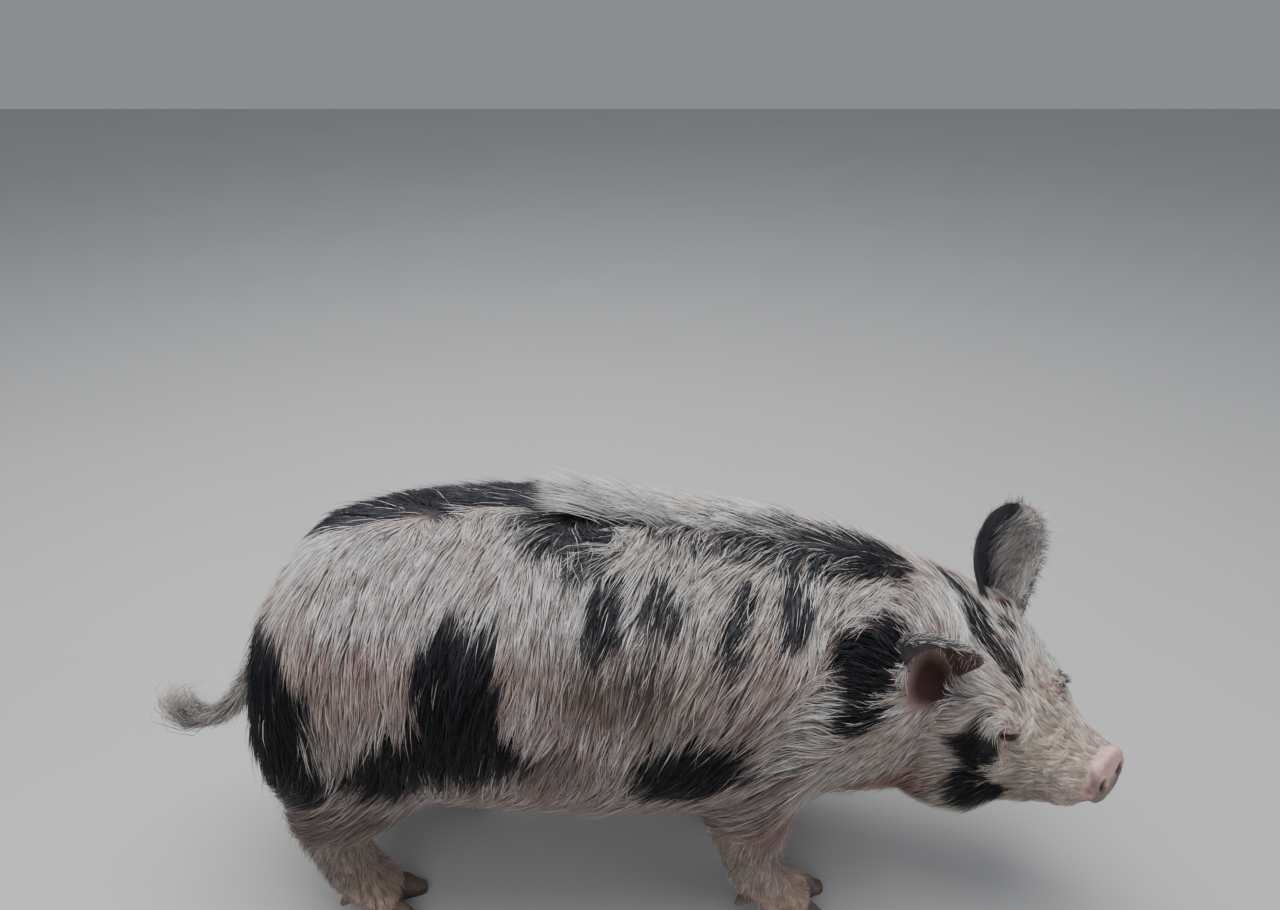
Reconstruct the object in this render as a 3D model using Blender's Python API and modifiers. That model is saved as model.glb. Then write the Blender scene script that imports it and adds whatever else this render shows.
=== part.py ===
"""A miniature pig, a spotted sow with a long bristly coat, life size.

She walks with her head low and turned to the right. The flesh is a few lofts, one for each mass of the
body, fused and smoothed into one hide, then parted by thin plane cuts into head, neck, torso and legs.
Ears, eyes, tail and claws are made apart and sit in sockets cut for them. The coat is flat tapered locks
rooted in the hide. +X is forward, +Y is the animal's left, +Z is up; metres.
"""

import math
import random

import bmesh
import bpy
import numpy as np
from mathutils import Matrix, Vector
from mathutils.bvhtree import BVHTree

# Places are written in a frame that stands under the middle of the trunk. ORIGIN is the middle of the
# whole animal's footprint in that frame, snout and tail included, and is taken off at the end.
ORIGIN = np.array([-0.0355, -0.0005, 0.0])
GAP = 0.0003

# Trunk: the back is highest over the loins, the belly hangs, shoulders and neck drop to the head
BACK_HEIGHT = 0.506
BELLY_HEIGHT = 0.158
TRUNK_HALF_WIDTH = 0.184

# Head: a short dished face. Its frame starts between the ears.
HEAD_AT = np.array([0.373, -0.034, 0.296])
HEAD_YAW, HEAD_PITCH, HEAD_ROLL = 48.0, -6.5, 13.0
FACE_LENGTH = 0.190
SNOUT_YAW, SNOUT_PITCH = 12.0, 15.0
NOSTRIL_SIDE, NOSTRIL_RADII = 0.0155, (0.012, 0.0056, 0.0080)
MOUTH_LEVEL = -0.047
MOUTH_CORNER = 0.084
MOUTH_TURN = 0.140
LIP_RADIUS, LIP_SUNK = 0.0050, 0.0030
MOUTH_RADIUS, MOUTH_PROUD = 0.0022, 0.0010

EYE_RADIUS = 0.0100
EYE_AT = (0.088, 0.0410, 0.041)
EYE_YAW, EYE_PITCH = 58.0, 4.0
LID_RADIUS = 0.0150
LID_OPENING = (0.0060, 0.0098, 0.0038)

EAR_LENGTH = {"right": 0.128, "left": 0.138}
EAR_HALF_WIDTH = 0.045
EAR_DEPTH = 0.028
EAR_THICKNESS = 0.0044
EAR_AT = {"right": (-0.016, 0.084, 0.072), "left": (-0.004, 0.084, 0.074)}
EAR_SUNK = 0.020
# The right ear tips forward, the left stands up and out
EAR_LEAN = {"right": (0.64, 0.17), "left": (-0.10, 0.28)}

TAIL_PATH = [
    (-0.420, 0.000, 0.326), (-0.456, 0.000, 0.310), (-0.484, -0.003, 0.284),
    (-0.506, -0.007, 0.254), (-0.530, -0.010, 0.230), (-0.556, -0.012, 0.218),
]
TAIL_RADII = (0.0160, 0.0150, 0.0125, 0.0100, 0.0080, 0.0050)

# Feet: each is two claws in front and two small dewclaws behind, flat on the floor at one level
FOOT_SIDE = 0.108
FRONT_FOOT_X = {"right": 0.128, "left": 0.070}
HIND_FOOT_X = {"right": -0.358, "left": -0.265}
CLAW_LENGTH, CLAW_HALF_WIDTH, CLAW_HEIGHT = 0.062, 0.0140, 0.033
CLAW_APART, CLAW_SPLAY = 0.0160, 10.0
CLAW_AHEAD = {"front": 0.036, "hind": 0.016}
DEWCLAW_LENGTH, DEWCLAW_HALF_WIDTH, DEWCLAW_APART = 0.030, 0.0085, 0.0165

# Cuts between nodes: a point on the plane, then yaw and pitch of its normal
HEAD_CUT = (np.array([0.322, -0.028, 0.300]), 30.0, -4.0)
NECK_CUT = (np.array([0.240, 0.000, 0.300]), 12.0, 0.0)
LEG_CUT_SIDE, LEG_CUT_HEIGHT, LEG_CUT_TILT = 0.100, 0.187, 34.0
FRONT_CUT_X = (0.032, 0.300)
HIND_CUT_X = (-0.520, -0.190)

TEAT_PAIRS, TEAT_RADIUS, TEAT_X = 6, 0.0075, (-0.205, 0.012)

# Linear base colour and roughness of each material
MATERIALS = {
    "hide": ((0.62, 0.47, 0.38), 0.75),
    "ear_skin": ((0.40, 0.24, 0.18), 0.70),
    "eye": ((0.030, 0.020, 0.016), 0.20),
    "horn": ((0.22, 0.16, 0.11), 0.60),
}

SIDES = {"right": -1, "left": 1}

# Coat: lengths and widths of the locks, how far apart they root along and across their lie, and how high
# their middle line runs over the hide from root to tip
LOCK_LENGTH = {"body": 0.136, "neck": 0.090, "head": 0.064}
LOCK_WIDTH = {"body": 0.056, "neck": 0.046, "head": 0.038}
LOCK_APART = {"body": (0.091, 0.053), "neck": (0.051, 0.045), "head": (0.048, 0.040)}
LOCK_HEIGHT = {
    "body": (-0.0080, 0.0050, 0.0110, 0.0165),
    "neck": (-0.0070, 0.0045, 0.0090, 0.0130),
    "head": (-0.0060, 0.0034, 0.0068, 0.0100),
}
LOCK_THICKNESS = {
    "body": (0.0060, 0.0042, 0.0030),
    "neck": (0.0060, 0.0040, 0.0030),
    "head": (0.0050, 0.0034, 0.0024),
}
LOCK_TAPER = (0.78, 1.00, 0.62)
LOCK_AT = (0.0, 0.32, 0.68, 1.0)
LOCK_BEND, LOCK_VARIES = 16.0, 0.14
LOCKS_FROM_HEIGHT = 0.215
CREST_X, CREST_LOCKS = (-0.150, 0.215), 10
CREST_LENGTH, CREST_WIDTH, CREST_LEAN = 0.104, 0.038, 30.0
TUFT_STRANDS = 7
SEED = 9
COAT_SOLVER = "MANIFOLD"

# The hide is fused twice: first every mass, smoothed hard, then again with the finer forms over it
MASS_VOXEL, MASS_SMOOTHING = 0.006, 22
HIDE_VOXEL, HIDE_SMOOTHING = 0.0045, 7
BODY_TRIANGLES = 2600
HEAD_DETAIL_TRIANGLES = 4800


# Shape maths

def eased(knots, values, at):
    """A cubic through the values at their knots, its slope at each knot set by the knots beside it."""
    knots, values = np.asarray(knots, float), np.asarray(values, float)
    slope = np.gradient(values, knots, axis=0)
    i = np.clip(np.searchsorted(knots, at, side="right") - 1, 0, len(knots) - 2)
    step = (knots[i + 1] - knots[i])[:, None]
    u = (np.asarray(at) - knots[i])[:, None] / step
    start = (2 * u**3 - 3 * u**2 + 1) * values[i] + (u**3 - 2 * u**2 + u) * step * slope[i]
    end = (3 * u**2 - 2 * u**3) * values[i + 1] + (u**3 - u**2) * step * slope[i + 1]
    return start + end


def turned(yaw, pitch, roll=0.0):
    """Forward, left and up as columns: yaw turns right, pitch lifts the nose, roll drops the right side."""
    y, p, r = (math.radians(angle) for angle in (yaw, pitch, roll))
    forward = np.array([math.cos(y) * math.cos(p), -math.sin(y) * math.cos(p), math.sin(p)])
    level = np.array([math.sin(y), math.cos(y), 0.0])
    above = np.cross(forward, level)
    left = math.cos(r) * level + math.sin(r) * above
    up = math.cos(r) * above - math.sin(r) * level
    return np.stack([forward, left, up], axis=1)


def unit(vector):
    return vector / np.linalg.norm(vector, axis=-1, keepdims=True)


def rings_of(sections, rings, around, domes, square=2.2, dome_rings=4):
    """Rings along a run of sections, each x, y, z, yaw, pitch, half width, height above, depth below.
    A section is a superellipse. The ends close in quarter ellipses as long as the two domes."""
    sections = np.asarray(sections, float)
    run = np.r_[0, np.cumsum(np.linalg.norm(np.diff(sections[:, :3], axis=0), axis=1))]
    rows = eased(run, sections, np.linspace(0, run[-1], rings))
    angle = np.linspace(0, 2 * np.pi, around, endpoint=False)
    across = np.sign(np.cos(angle)) * np.abs(np.cos(angle)) ** (2 / square)
    upward = np.sign(np.sin(angle)) * np.abs(np.sin(angle)) ** (2 / square)

    def ring(row, scale=1.0, shift=0.0):
        frame = turned(row[3], row[4])
        height = np.where(upward > 0, row[6], row[7])
        offset = np.outer(across * row[5], frame[:, 1]) + np.outer(upward * height, frame[:, 2])
        return row[:3] + frame[:, 0] * shift + scale * offset

    bend = np.linspace(0.12, 0.85, dome_rings) * math.pi / 2
    first = [ring(rows[0], math.sin(a), -domes[0] * math.cos(a)) for a in bend]
    last = [ring(rows[-1], math.sin(a), domes[1] * math.cos(a)) for a in bend[::-1]]
    return np.array(first + [ring(row) for row in rows] + last)


HEAD_TURN = turned(HEAD_YAW, HEAD_PITCH, HEAD_ROLL)


def from_head(points):
    """Points of the head's frame, in the animal's."""
    return HEAD_AT + np.asarray(points, float) @ HEAD_TURN.T


# Mesh helpers

def mesh_object(name, points, faces):
    mesh = bpy.data.meshes.new(name)
    mesh.from_pydata(np.asarray(points, float).tolist(), [], [list(map(int, f)) for f in faces])
    mesh.update()
    made = bpy.data.objects.new(name, mesh)
    bpy.context.scene.collection.objects.link(made)
    return made


def tube_faces(rings, around):
    """Quads between closed rings and a polygon over each end."""
    row, column = np.meshgrid(np.arange(rings - 1), np.arange(around), indexing="ij")
    a = (row * around + column).ravel()
    b = (row * around + (column + 1) % around).ravel()
    sides = np.stack([a, b, b + around, a + around], axis=1).tolist()
    return sides + [list(range(around))[::-1], list(range((rings - 1) * around, rings * around))]


def outward(thing):
    """Faces turned out and split into triangles, so that a copy grown as a socket splits the same way."""
    work = bmesh.new()
    work.from_mesh(thing.data)
    bmesh.ops.recalc_face_normals(work, faces=work.faces)
    bmesh.ops.triangulate(work, faces=work.faces)
    work.to_mesh(thing.data)
    work.free()
    return thing


def loft(name, rings):
    return outward(mesh_object(name, rings.reshape(-1, 3), tube_faces(*rings.shape[:2])))


def ellipsoid(name, centre, radii, frame=None, segments=20):
    made = mesh_object(name, [], [])
    work = bmesh.new()
    bmesh.ops.create_uvsphere(work, u_segments=segments, v_segments=segments // 2, radius=1.0)
    turn = Matrix((np.eye(3) if frame is None else frame).tolist()).to_4x4()
    work.transform(Matrix.Translation(Vector(centre)) @ turn @ Matrix.Diagonal((*radii, 1.0)))
    work.to_mesh(made.data)
    work.free()
    return outward(made)


def block(name, centre, size, frame):
    made = mesh_object(name, [], [])
    work = bmesh.new()
    bmesh.ops.create_cube(work, size=1.0)
    turn = Matrix(frame.tolist()).to_4x4()
    work.transform(Matrix.Translation(Vector(centre)) @ turn @ Matrix.Diagonal((*size, 1.0)))
    work.to_mesh(made.data)
    work.free()
    return outward(made)


def settled(thing):
    """The object with its modifiers worked into a new mesh."""
    graph = bpy.context.evaluated_depsgraph_get()
    graph.update()
    mesh = bpy.data.meshes.new_from_object(thing.evaluated_get(graph))
    thing.modifiers.clear()
    thing.data = mesh
    return thing


def copied(thing, name):
    made = bpy.data.objects.new(name, thing.data.copy())
    bpy.context.scene.collection.objects.link(made)
    return made


def joined(name, things):
    """The things as one mesh with no Boolean; the shells may cross."""
    work = bmesh.new()
    for thing in things:
        work.from_mesh(thing.data)
        bpy.data.objects.remove(thing)
    made = mesh_object(name, [], [])
    work.to_mesh(made.data)
    work.free()
    return made


def grown(thing, by):
    """The object with every face moved out by that much, less at the sharpest edges."""
    work = bmesh.new()
    work.from_mesh(thing.data)
    work.normal_update()
    moves = [vertex.normal * by * min(vertex.calc_shell_factor(), 3.0) for vertex in work.verts]
    for vertex, move in zip(work.verts, moves):
        vertex.co += move
    work.to_mesh(thing.data)
    work.free()
    return thing


def boolean(thing, other, operation, solver="EXACT"):
    """Adds, takes away or keeps what is shared with the other object, which is then removed."""
    tool = thing.modifiers.new("shape", "BOOLEAN")
    tool.operation, tool.solver, tool.object = operation, solver, other
    settled(thing)
    bpy.data.objects.remove(other)
    return thing


def shells_of(work):
    """The faces of each closed surface, found by stepping over edges that two faces share."""
    left, shells = set(work.faces), []
    while left:
        shell, edge = set(), [left.pop()]
        while edge:
            face = edge.pop()
            shell.add(face)
            for side in face.edges:
                for other in side.link_faces if len(side.link_faces) == 2 else ():
                    if other in left:
                        left.discard(other)
                        edge.append(other)
        shells.append(shell)
    return shells


def largest_surface(thing):
    """Keeps the largest closed surface of the object and drops loose scraps."""
    work = bmesh.new()
    work.from_mesh(thing.data)
    bmesh.ops.remove_doubles(work, verts=work.verts, dist=1e-6)
    shells = shells_of(work)
    biggest = max(shells, key=len)
    for shell in shells:
        if shell is not biggest:
            bmesh.ops.delete(work, geom=list(shell), context="FACES")
    bmesh.ops.triangulate(work, faces=work.faces)
    work.to_mesh(thing.data)
    work.free()
    return thing


def fused(thing, voxel, smoothing):
    """The outside of all the shells as one skin, with the creases between them smoothed."""
    fuse = thing.modifiers.new("fuse", "REMESH")
    fuse.mode, fuse.voxel_size = "VOXEL", voxel
    soften = thing.modifiers.new("soften", "SMOOTH")
    soften.factor, soften.iterations = 0.5, smoothing
    return settled(thing)


def thinned(thing, triangles):
    """Collapses edges until about that many triangles are left."""
    thing.data.calc_loop_triangles()
    tool = thing.modifiers.new("thin", "DECIMATE")
    tool.ratio = min(1.0, triangles / len(thing.data.loop_triangles))
    return settled(thing)


# Trunk and neck

def trunk():
    middle = (BACK_HEIGHT + BELLY_HEIGHT) / 2
    depth = (BACK_HEIGHT - BELLY_HEIGHT) / 2
    wide = TRUNK_HALF_WIDTH
    sections = [
        (-0.434, 0, middle - 0.018, 0, -6, wide * 0.62, depth * 0.60, depth * 0.54),
        (-0.402, 0, middle - 0.010, 0, -2, wide * 0.78, depth * 0.79, depth * 0.72),
        (-0.330, 0, middle - 0.002, 0, 0, wide * 0.91, depth * 0.91, depth * 0.84),
        (-0.230, 0, middle, 0, 0, wide * 0.98, depth * 0.99, depth * 0.92),
        (-0.100, 0, middle, 0, 0, wide, depth, depth),
        (0.030, 0, middle - 0.004, 1, -1, wide * 0.99, depth * 0.94, depth * 0.98),
        (0.140, -0.002, middle - 0.010, 4, -3, wide * 0.92, depth * 0.89, depth * 0.93),
        (0.220, -0.008, middle - 0.017, 12, -7, wide * 0.82, depth * 0.81, depth * 0.85),
        (0.290, -0.019, middle - 0.028, 24, -10, wide * 0.71, depth * 0.71, depth * 0.80),
        (0.345, -0.034, middle - 0.040, 36, -10, wide * 0.60, depth * 0.60, depth * 0.74),
    ]
    return loft("trunk", rings_of(sections, 40, 32, (0.028, 0.02), square=2.35))


def ham(side):
    """Thigh muscle, fullest low down behind."""
    return ellipsoid("ham", (-0.358, side * 0.078, 0.268), (0.096, 0.088, 0.124))


def shoulder(side):
    return ellipsoid("shoulder", (0.150, side * 0.086, 0.305), (0.092, 0.082, 0.120), turned(0, -12))


def crest_fat():
    """Low ridge of fat over the withers and neck."""
    sections = [
        (-0.020, 0.000, 0.462, 0, -6, 0.050, 0.028, 0.03),
        (0.120, -0.002, 0.448, 6, -10, 0.052, 0.030, 0.03),
        (0.230, -0.010, 0.416, 16, -16, 0.048, 0.030, 0.03),
        (0.330, -0.032, 0.364, 34, -22, 0.044, 0.026, 0.03),
    ]
    return loft("crest_fat", rings_of(sections, 16, 14, (0.05, 0.03)))


# Head

def skull():
    """The head from behind the ears to the front of the lips, dished between brow and snout."""
    rows = [
        (-0.030, 0.000, 0.090, 0.080, 0.100),
        (0.015, 0.000, 0.094, 0.086, 0.104),
        (0.055, -0.002, 0.084, 0.078, 0.098),
        (0.090, -0.006, 0.066, 0.058, 0.080),
        (0.120, -0.006, 0.052, 0.043, 0.062),
        (0.150, -0.004, 0.043, 0.036, 0.050),
        (FACE_LENGTH - 0.014, -0.002, 0.037, 0.032, 0.034),
    ]
    sections = [(x, 0, z, 0, 0, w, t, b) for x, z, w, t, b in rows]
    return loft("skull", from_head(rings_of(sections, 24, 28, (0.030, 0.006), square=2.3)))


def jaw():
    """The lower jaw, narrower than the muzzle and shorter, deepening to the throat."""
    rows = [
        (-0.020, -0.100, 0.068, 0.040, 0.040),
        (0.030, -0.094, 0.062, 0.034, 0.038),
        (0.080, -0.080, 0.049, 0.026, 0.034),
        (0.120, -0.066, 0.037, 0.022, 0.026),
        (FACE_LENGTH - 0.040, -0.055, 0.028, 0.016, 0.016),
    ]
    sections = [(x, 0, z, 0, 0, w, t, b) for x, z, w, t, b in rows]
    return loft("jaw", from_head(rings_of(sections, 16, 20, (0.03, 0.014))))


def face_mass(name, at, radii, side=1, yaw=0.0, pitch=0.0):
    """An ellipsoid of fat or muscle placed in the head's frame."""
    frame = HEAD_TURN @ turned(-side * yaw, pitch)
    return ellipsoid(name, from_head((at[0], side * at[1], at[2])), radii, frame)


def face_masses(side):
    return [
        face_mass("jowl", (0.018, 0.060, -0.060), (0.076, 0.048, 0.062), side),
        face_mass("cheekbone", (0.050, 0.048, 0.000), (0.060, 0.032, 0.036), side, 16, -6),
        face_mass("brow", (0.062, 0.034, 0.048), (0.050, 0.032, 0.020), side, 14, -30),
        face_mass("temple", (0.016, 0.054, 0.032), (0.056, 0.034, 0.040), side),
        face_mass("ear_base", (-0.010, 0.070, 0.052), (0.034, 0.030, 0.034), side),
        face_mass("neck_side", (-0.056, 0.062, 0.000), (0.080, 0.044, 0.080), side),
    ]


def fine_face_masses(side):
    return [
        face_mass("upper_lip", (0.132, 0.026, -0.030), (0.046, 0.017, 0.018), side, 10, 8),
        face_mass("lid", EYE_AT, (LID_RADIUS,) * 3, side),
        face_mass("brow_fold", (0.082, 0.044, 0.054), (0.028, 0.010, 0.006), side, 22, -26),
        face_mass("cheek_fold", (0.096, 0.048, 0.014), (0.026, 0.008, 0.006), side, 26, -38),
    ]


def snout_folds():
    """Skin folds over the bridge behind the disc."""
    folds = []
    for along, high, wide in ((0.163, 0.026, 0.028), (0.146, 0.029, 0.032), (0.128, 0.034, 0.032)):
        folds.append(face_mass("fold", (along, 0, high), (0.0070, wide, 0.0065)))
    return folds


def snout_disc():
    """The bare disc that ends the snout, with a rolled rim."""
    rows = [
        (-0.018, 0.036, 0.031, 0.032),
        (-0.008, 0.041, 0.036, 0.034),
        (-0.001, 0.042, 0.037, 0.035),
    ]
    sections = [(x, 0, 0, 0, 0, w, t, b) for x, w, t, b in rows]
    rings = rings_of(sections, 7, 28, (0.004, 0.005), square=2.3)
    tilt = turned(SNOUT_YAW, SNOUT_PITCH)
    return loft("snout_disc", from_head(np.array([FACE_LENGTH, 0, -0.001]) + rings @ tilt.T))


# Legs

def front_leg(name):
    side, foot = SIDES[name], FRONT_FOOT_X[name]
    y = side * FOOT_SIDE
    sections = [
        (0.118, side * 0.096, 0.300, 0, -90, 0.052, 0.086, 0.080),
        (0.114, side * 0.108, 0.240, 0, -92, 0.054, 0.074, 0.068),
        (0.5 * (0.112 + foot) - 0.006, side * 0.109, 0.180, 0, -92, 0.044, 0.051, 0.049),
        (0.4 * 0.112 + 0.6 * foot, y, 0.135, 0, -88, 0.038, 0.040, 0.041),
        (foot - 0.004, y, 0.095, 0, -84, 0.032, 0.033, 0.034),
        (foot + 0.008, y, 0.064, 0, -60, 0.033, 0.032, 0.034),
        (foot + 0.034, y, 0.040, 0, -34, 0.036, 0.027, 0.027),
        (foot + 0.064, y, 0.026, 0, -14, 0.032, 0.017, 0.018),
    ]
    return loft("front_leg_" + name, rings_of(sections, 22, 18, (0.03, 0.006)))


def hind_leg(name):
    side, foot = SIDES[name], HIND_FOOT_X[name]
    y = side * FOOT_SIDE
    hock = foot - 0.018
    sections = [
        (-0.325, side * 0.086, 0.310, 0, -84, 0.066, 0.100, 0.092),
        (-0.334, side * 0.098, 0.245, 0, -90, 0.068, 0.102, 0.094),
        (0.5 * (hock - 0.338), side * 0.108, 0.190, 0, -98, 0.052, 0.068, 0.062),
        (hock - 0.004, y, 0.145, 0, -96, 0.037, 0.041, 0.043),
        (hock + 0.004, y, 0.108, 0, -78, 0.031, 0.033, 0.035),
        (hock + 0.016, y, 0.070, 0, -64, 0.032, 0.032, 0.034),
        (foot + 0.020, y, 0.042, 0, -36, 0.036, 0.027, 0.027),
        (foot + 0.044, y, 0.027, 0, -14, 0.032, 0.017, 0.018),
    ]
    return loft("hind_leg_" + name, rings_of(sections, 24, 18, (0.03, 0.006)))


# Hide

def hide():
    """All masses of flesh fused into one closed skin and smoothed where they meet."""
    legs = [(make, name) for make in (front_leg, hind_leg) for name in SIDES]
    masses = [trunk(), crest_fat(), skull(), jaw()]
    masses += [make(side) for make in (ham, shoulder) for side in SIDES.values()]
    masses += [mass for side in SIDES.values() for mass in face_masses(side)]
    masses += [make(name) for make, name in legs]
    whole = fused(joined("masses", masses), MASS_VOXEL, MASS_SMOOTHING)
    fine = [whole, skull(), snout_disc(), *snout_folds()]
    fine += [mass for side in SIDES.values() for mass in fine_face_masses(side)]
    fine += [make(name) for make, name in legs]
    return fused(joined("hide", fine), HIDE_VOXEL, HIDE_SMOOTHING)


# Nodes

def beyond(cut, gap):
    """A block that fills everything in front of a cut plane, starting the gap ahead of it."""
    at, yaw, pitch = cut
    frame = turned(yaw, pitch)
    reach = 0.5
    return block("beyond", at + frame[:, 0] * (gap + reach), (2 * reach, 1.6, 1.6), frame)


def leg_block(side, x_range, grow=0.0):
    """A block around one leg whose top slopes up and out from the belly."""
    tilt = math.radians(LEG_CUT_TILT)
    along = np.array([0, side * math.cos(tilt), math.sin(tilt)])
    above = np.array([0, -side * math.sin(tilt), math.cos(tilt)])
    frame = np.stack([np.array([1.0, 0, 0]), along, above], axis=1)
    inner = np.array([sum(x_range) / 2, side * LEG_CUT_SIDE, LEG_CUT_HEIGHT]) - along * 0.100
    centre = inner + along * 0.15 - above * 0.15
    size = np.array([x_range[1] - x_range[0], 0.3, 0.3]) + 2 * grow
    return block("leg_block", centre, size, frame)


def tube(name, path, radius, around=6):
    """A closed tube of one radius along a path."""
    path = np.asarray(path, float)
    along = unit(np.gradient(path, axis=0))
    side = unit(np.cross(along, HEAD_TURN[:, 2]))
    other = np.cross(along, side)
    angle = np.linspace(0, 2 * np.pi, around, endpoint=False)
    ring = np.cos(angle)[None, :, None] * side[:, None] + np.sin(angle)[None, :, None] * other[:, None]
    radius = np.broadcast_to(radius, len(path))
    return loft(name, path[:, None] + ring * radius[:, None, None])


def mouth_path(head):
    """The line of the mouth on the skin, from one corner round the front of the lips to the other."""
    surface = BVHTree.FromObject(head, bpy.context.evaluated_depsgraph_get())
    rays = []
    for along in np.linspace(MOUTH_CORNER, MOUTH_TURN, 5):
        lift = 0.012 * ((MOUTH_TURN - along) / (MOUTH_TURN - MOUTH_CORNER)) ** 2
        rays.append(((along, 0, MOUTH_LEVEL + lift), (0, 1, 0)))
    for angle in np.radians(np.linspace(72, 0, 5)):
        rays.append(((MOUTH_TURN, 0, MOUTH_LEVEL), (math.cos(angle), math.sin(angle), 0)))
    rays += [(start, (way[0], -way[1], 0)) for start, way in rays[-2::-1]]
    hits = [surface.ray_cast(Vector(from_head(a)), Vector(HEAD_TURN @ np.array(b))) for a, b in rays]
    path = np.array([hit[0] for hit in hits])
    for _ in range(4):
        path[1:-1] = path[1:-1] / 2 + (path[:-2] + path[2:]) / 4
    near = [surface.find_nearest(Vector(point)) for point in path]
    return np.array([hit[0] for hit in near]), np.array([hit[1] for hit in near])


def eye_place(side):
    return from_head((EYE_AT[0], side * EYE_AT[1], EYE_AT[2])), HEAD_TURN @ turned(-side * EYE_YAW, EYE_PITCH)


def eye(side, grow=0.0):
    centre, frame = eye_place(side)
    return ellipsoid("eye", centre, (EYE_RADIUS + grow,) * 3, frame, 12)


def eye_slit(side):
    """The almond opening between the lids."""
    centre, frame = eye_place(side)
    return ellipsoid("slit", centre + frame[:, 0] * (EYE_RADIUS + 0.002), LID_OPENING, frame, 12)


def nostril(side):
    frame = HEAD_TURN @ turned(SNOUT_YAW, SNOUT_PITCH)
    centre = from_head((FACE_LENGTH, 0, -0.001)) + frame @ np.array([0.004, side * NOSTRIL_SIDE, 0.002])
    return ellipsoid("nostril", centre, NOSTRIL_RADII, frame, 12)


def ear(name):
    """A cupped leaf: rings of a curved band, nearly closed at the root, opening and flattening to the tip."""
    side = SIDES[name]
    forward, outward_lean = EAR_LEAN[name]
    rise = unit(np.array([forward, side * outward_lean, 1.0]))
    opening = np.array([-0.15 if name == "right" else 0.25, side * 1.0, 0.0])
    opening = unit(opening - rise * (opening @ rise))
    across = np.cross(rise, opening)
    root = np.array(EAR_AT[name]) * [1, side, 1]
    rings, around = 9, 7
    t = np.linspace(0, 1, rings)
    knots = [0, 0.2, 0.5, 0.78, 0.93, 1.0]
    width = EAR_HALF_WIDTH * eased(knots, [[0.50], [0.72], [1.0], [0.84], [0.52], [0.20]], t)[:, 0]
    depth = EAR_DEPTH * eased(knots, [[0.80], [0.92], [0.82], [0.50], [0.26], [0.10]], t)[:, 0]
    wrap = np.radians(eased(knots, [[140], [118], [94], [84], [80], [78]], t)[:, 0])
    bow = 0.012 * np.sin(np.pi * t)
    run = -EAR_SUNK + t * (EAR_LENGTH[name] + EAR_SUNK)
    s = np.linspace(-1, 1, around)
    bands = []
    for i in range(rings):
        a = wrap[i] * s
        thick = EAR_THICKNESS * (1 - 0.45 * t[i])
        outer = np.stack([width[i] * np.sin(a), -depth[i] * np.cos(a)], axis=1)
        share = np.array([max(1 - thick / width[i], 0.25), max(1 - thick / max(depth[i], 1e-6), 0.1)])
        inner = (outer * share + [0, 0.35 * thick])[::-1] * [0.97, 1.0]
        flat = np.concatenate([outer, inner])
        centre = root + rise * run[i] - opening * bow[i]
        bands.append(centre + flat[:, :1] * across + flat[:, 1:] * opening)
    return loft("ear_" + name, from_head(np.array(bands)))


def flat_soled(thing):
    """Cuts the object off level with the floor."""
    work = bmesh.new()
    work.from_mesh(thing.data)
    geometry = work.verts[:] + work.edges[:] + work.faces[:]
    cut = bmesh.ops.bisect_plane(work, geom=geometry, plane_co=(0, 0, 0), plane_no=(0, 0, -1), clear_outer=True)
    rim = [part for part in cut["geom_cut"] if isinstance(part, bmesh.types.BMEdge)]
    bmesh.ops.contextual_create(work, geom=rim)
    work.to_mesh(thing.data)
    work.free()
    return outward(thing)


def claw(foot_x, y, inner):
    """A main claw: a blunt wedge with a flat sole, splayed a little from its neighbour."""
    yaw = -inner * CLAW_SPLAY
    long, wide, high = CLAW_LENGTH, CLAW_HALF_WIDTH, CLAW_HEIGHT
    frame = turned(yaw, 0)
    rows = [
        (0.00, 0.32, 0.74, 0.34, 0.40),
        (0.28, 0.42, 1.00, 0.56, 0.55),
        (0.60, 0.37, 0.96, 0.48, 0.50),
        (0.86, 0.24, 0.76, 0.30, 0.40),
    ]
    start = np.array([foot_x, y + inner * CLAW_APART, 0])
    sections = []
    for along, middle, w, up, down in rows:
        at = start + frame[:, 0] * long * along
        sections.append((at[0], at[1], high * middle, yaw, 0, wide * w, high * up, high * down))
    rings = rings_of(sections, 5, 8, (long * 0.10, long * 0.12), square=2.5, dome_rings=2)
    return flat_soled(loft("claw", rings))


def dewclaw(foot_x, y, inner):
    """A small claw behind the pastern, clear of the floor."""
    long, wide = DEWCLAW_LENGTH, DEWCLAW_HALF_WIDTH
    frame = turned(180 + inner * 14, -42)
    start = np.array([foot_x + 0.002, y + inner * DEWCLAW_APART, 0.050])
    sections = []
    for along, size in ((0.0, 0.9), (0.35, 1.0), (0.7, 0.78), (0.92, 0.45)):
        at = start + frame[:, 0] * long * along
        sections.append((*at, 180 + inner * 14, -42, wide * size, wide * size, wide * size * 0.8))
    return loft("dewclaw", rings_of(sections, 4, 6, (0.003, 0.003), dome_rings=1))


def tangent(way, normal):
    return unit(way - normal * (way @ normal))


def body_lie(point):
    """Which way the coat lies on trunk and neck: back from the head, and down the flanks and rump."""
    knots = [-0.45, -0.36, -0.20, 0.10, 0.25, 0.45]
    back = np.interp(point[0], knots, [-0.15, -0.35, -0.62, -0.66, -0.80, -0.85])
    down = np.interp(point[0], knots, [-1.00, -1.00, -0.80, -0.72, -0.55, -0.45])
    outward_share = 4.0 * np.clip(point[1], -0.10, 0.10)
    return np.array([back, outward_share, down])


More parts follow.
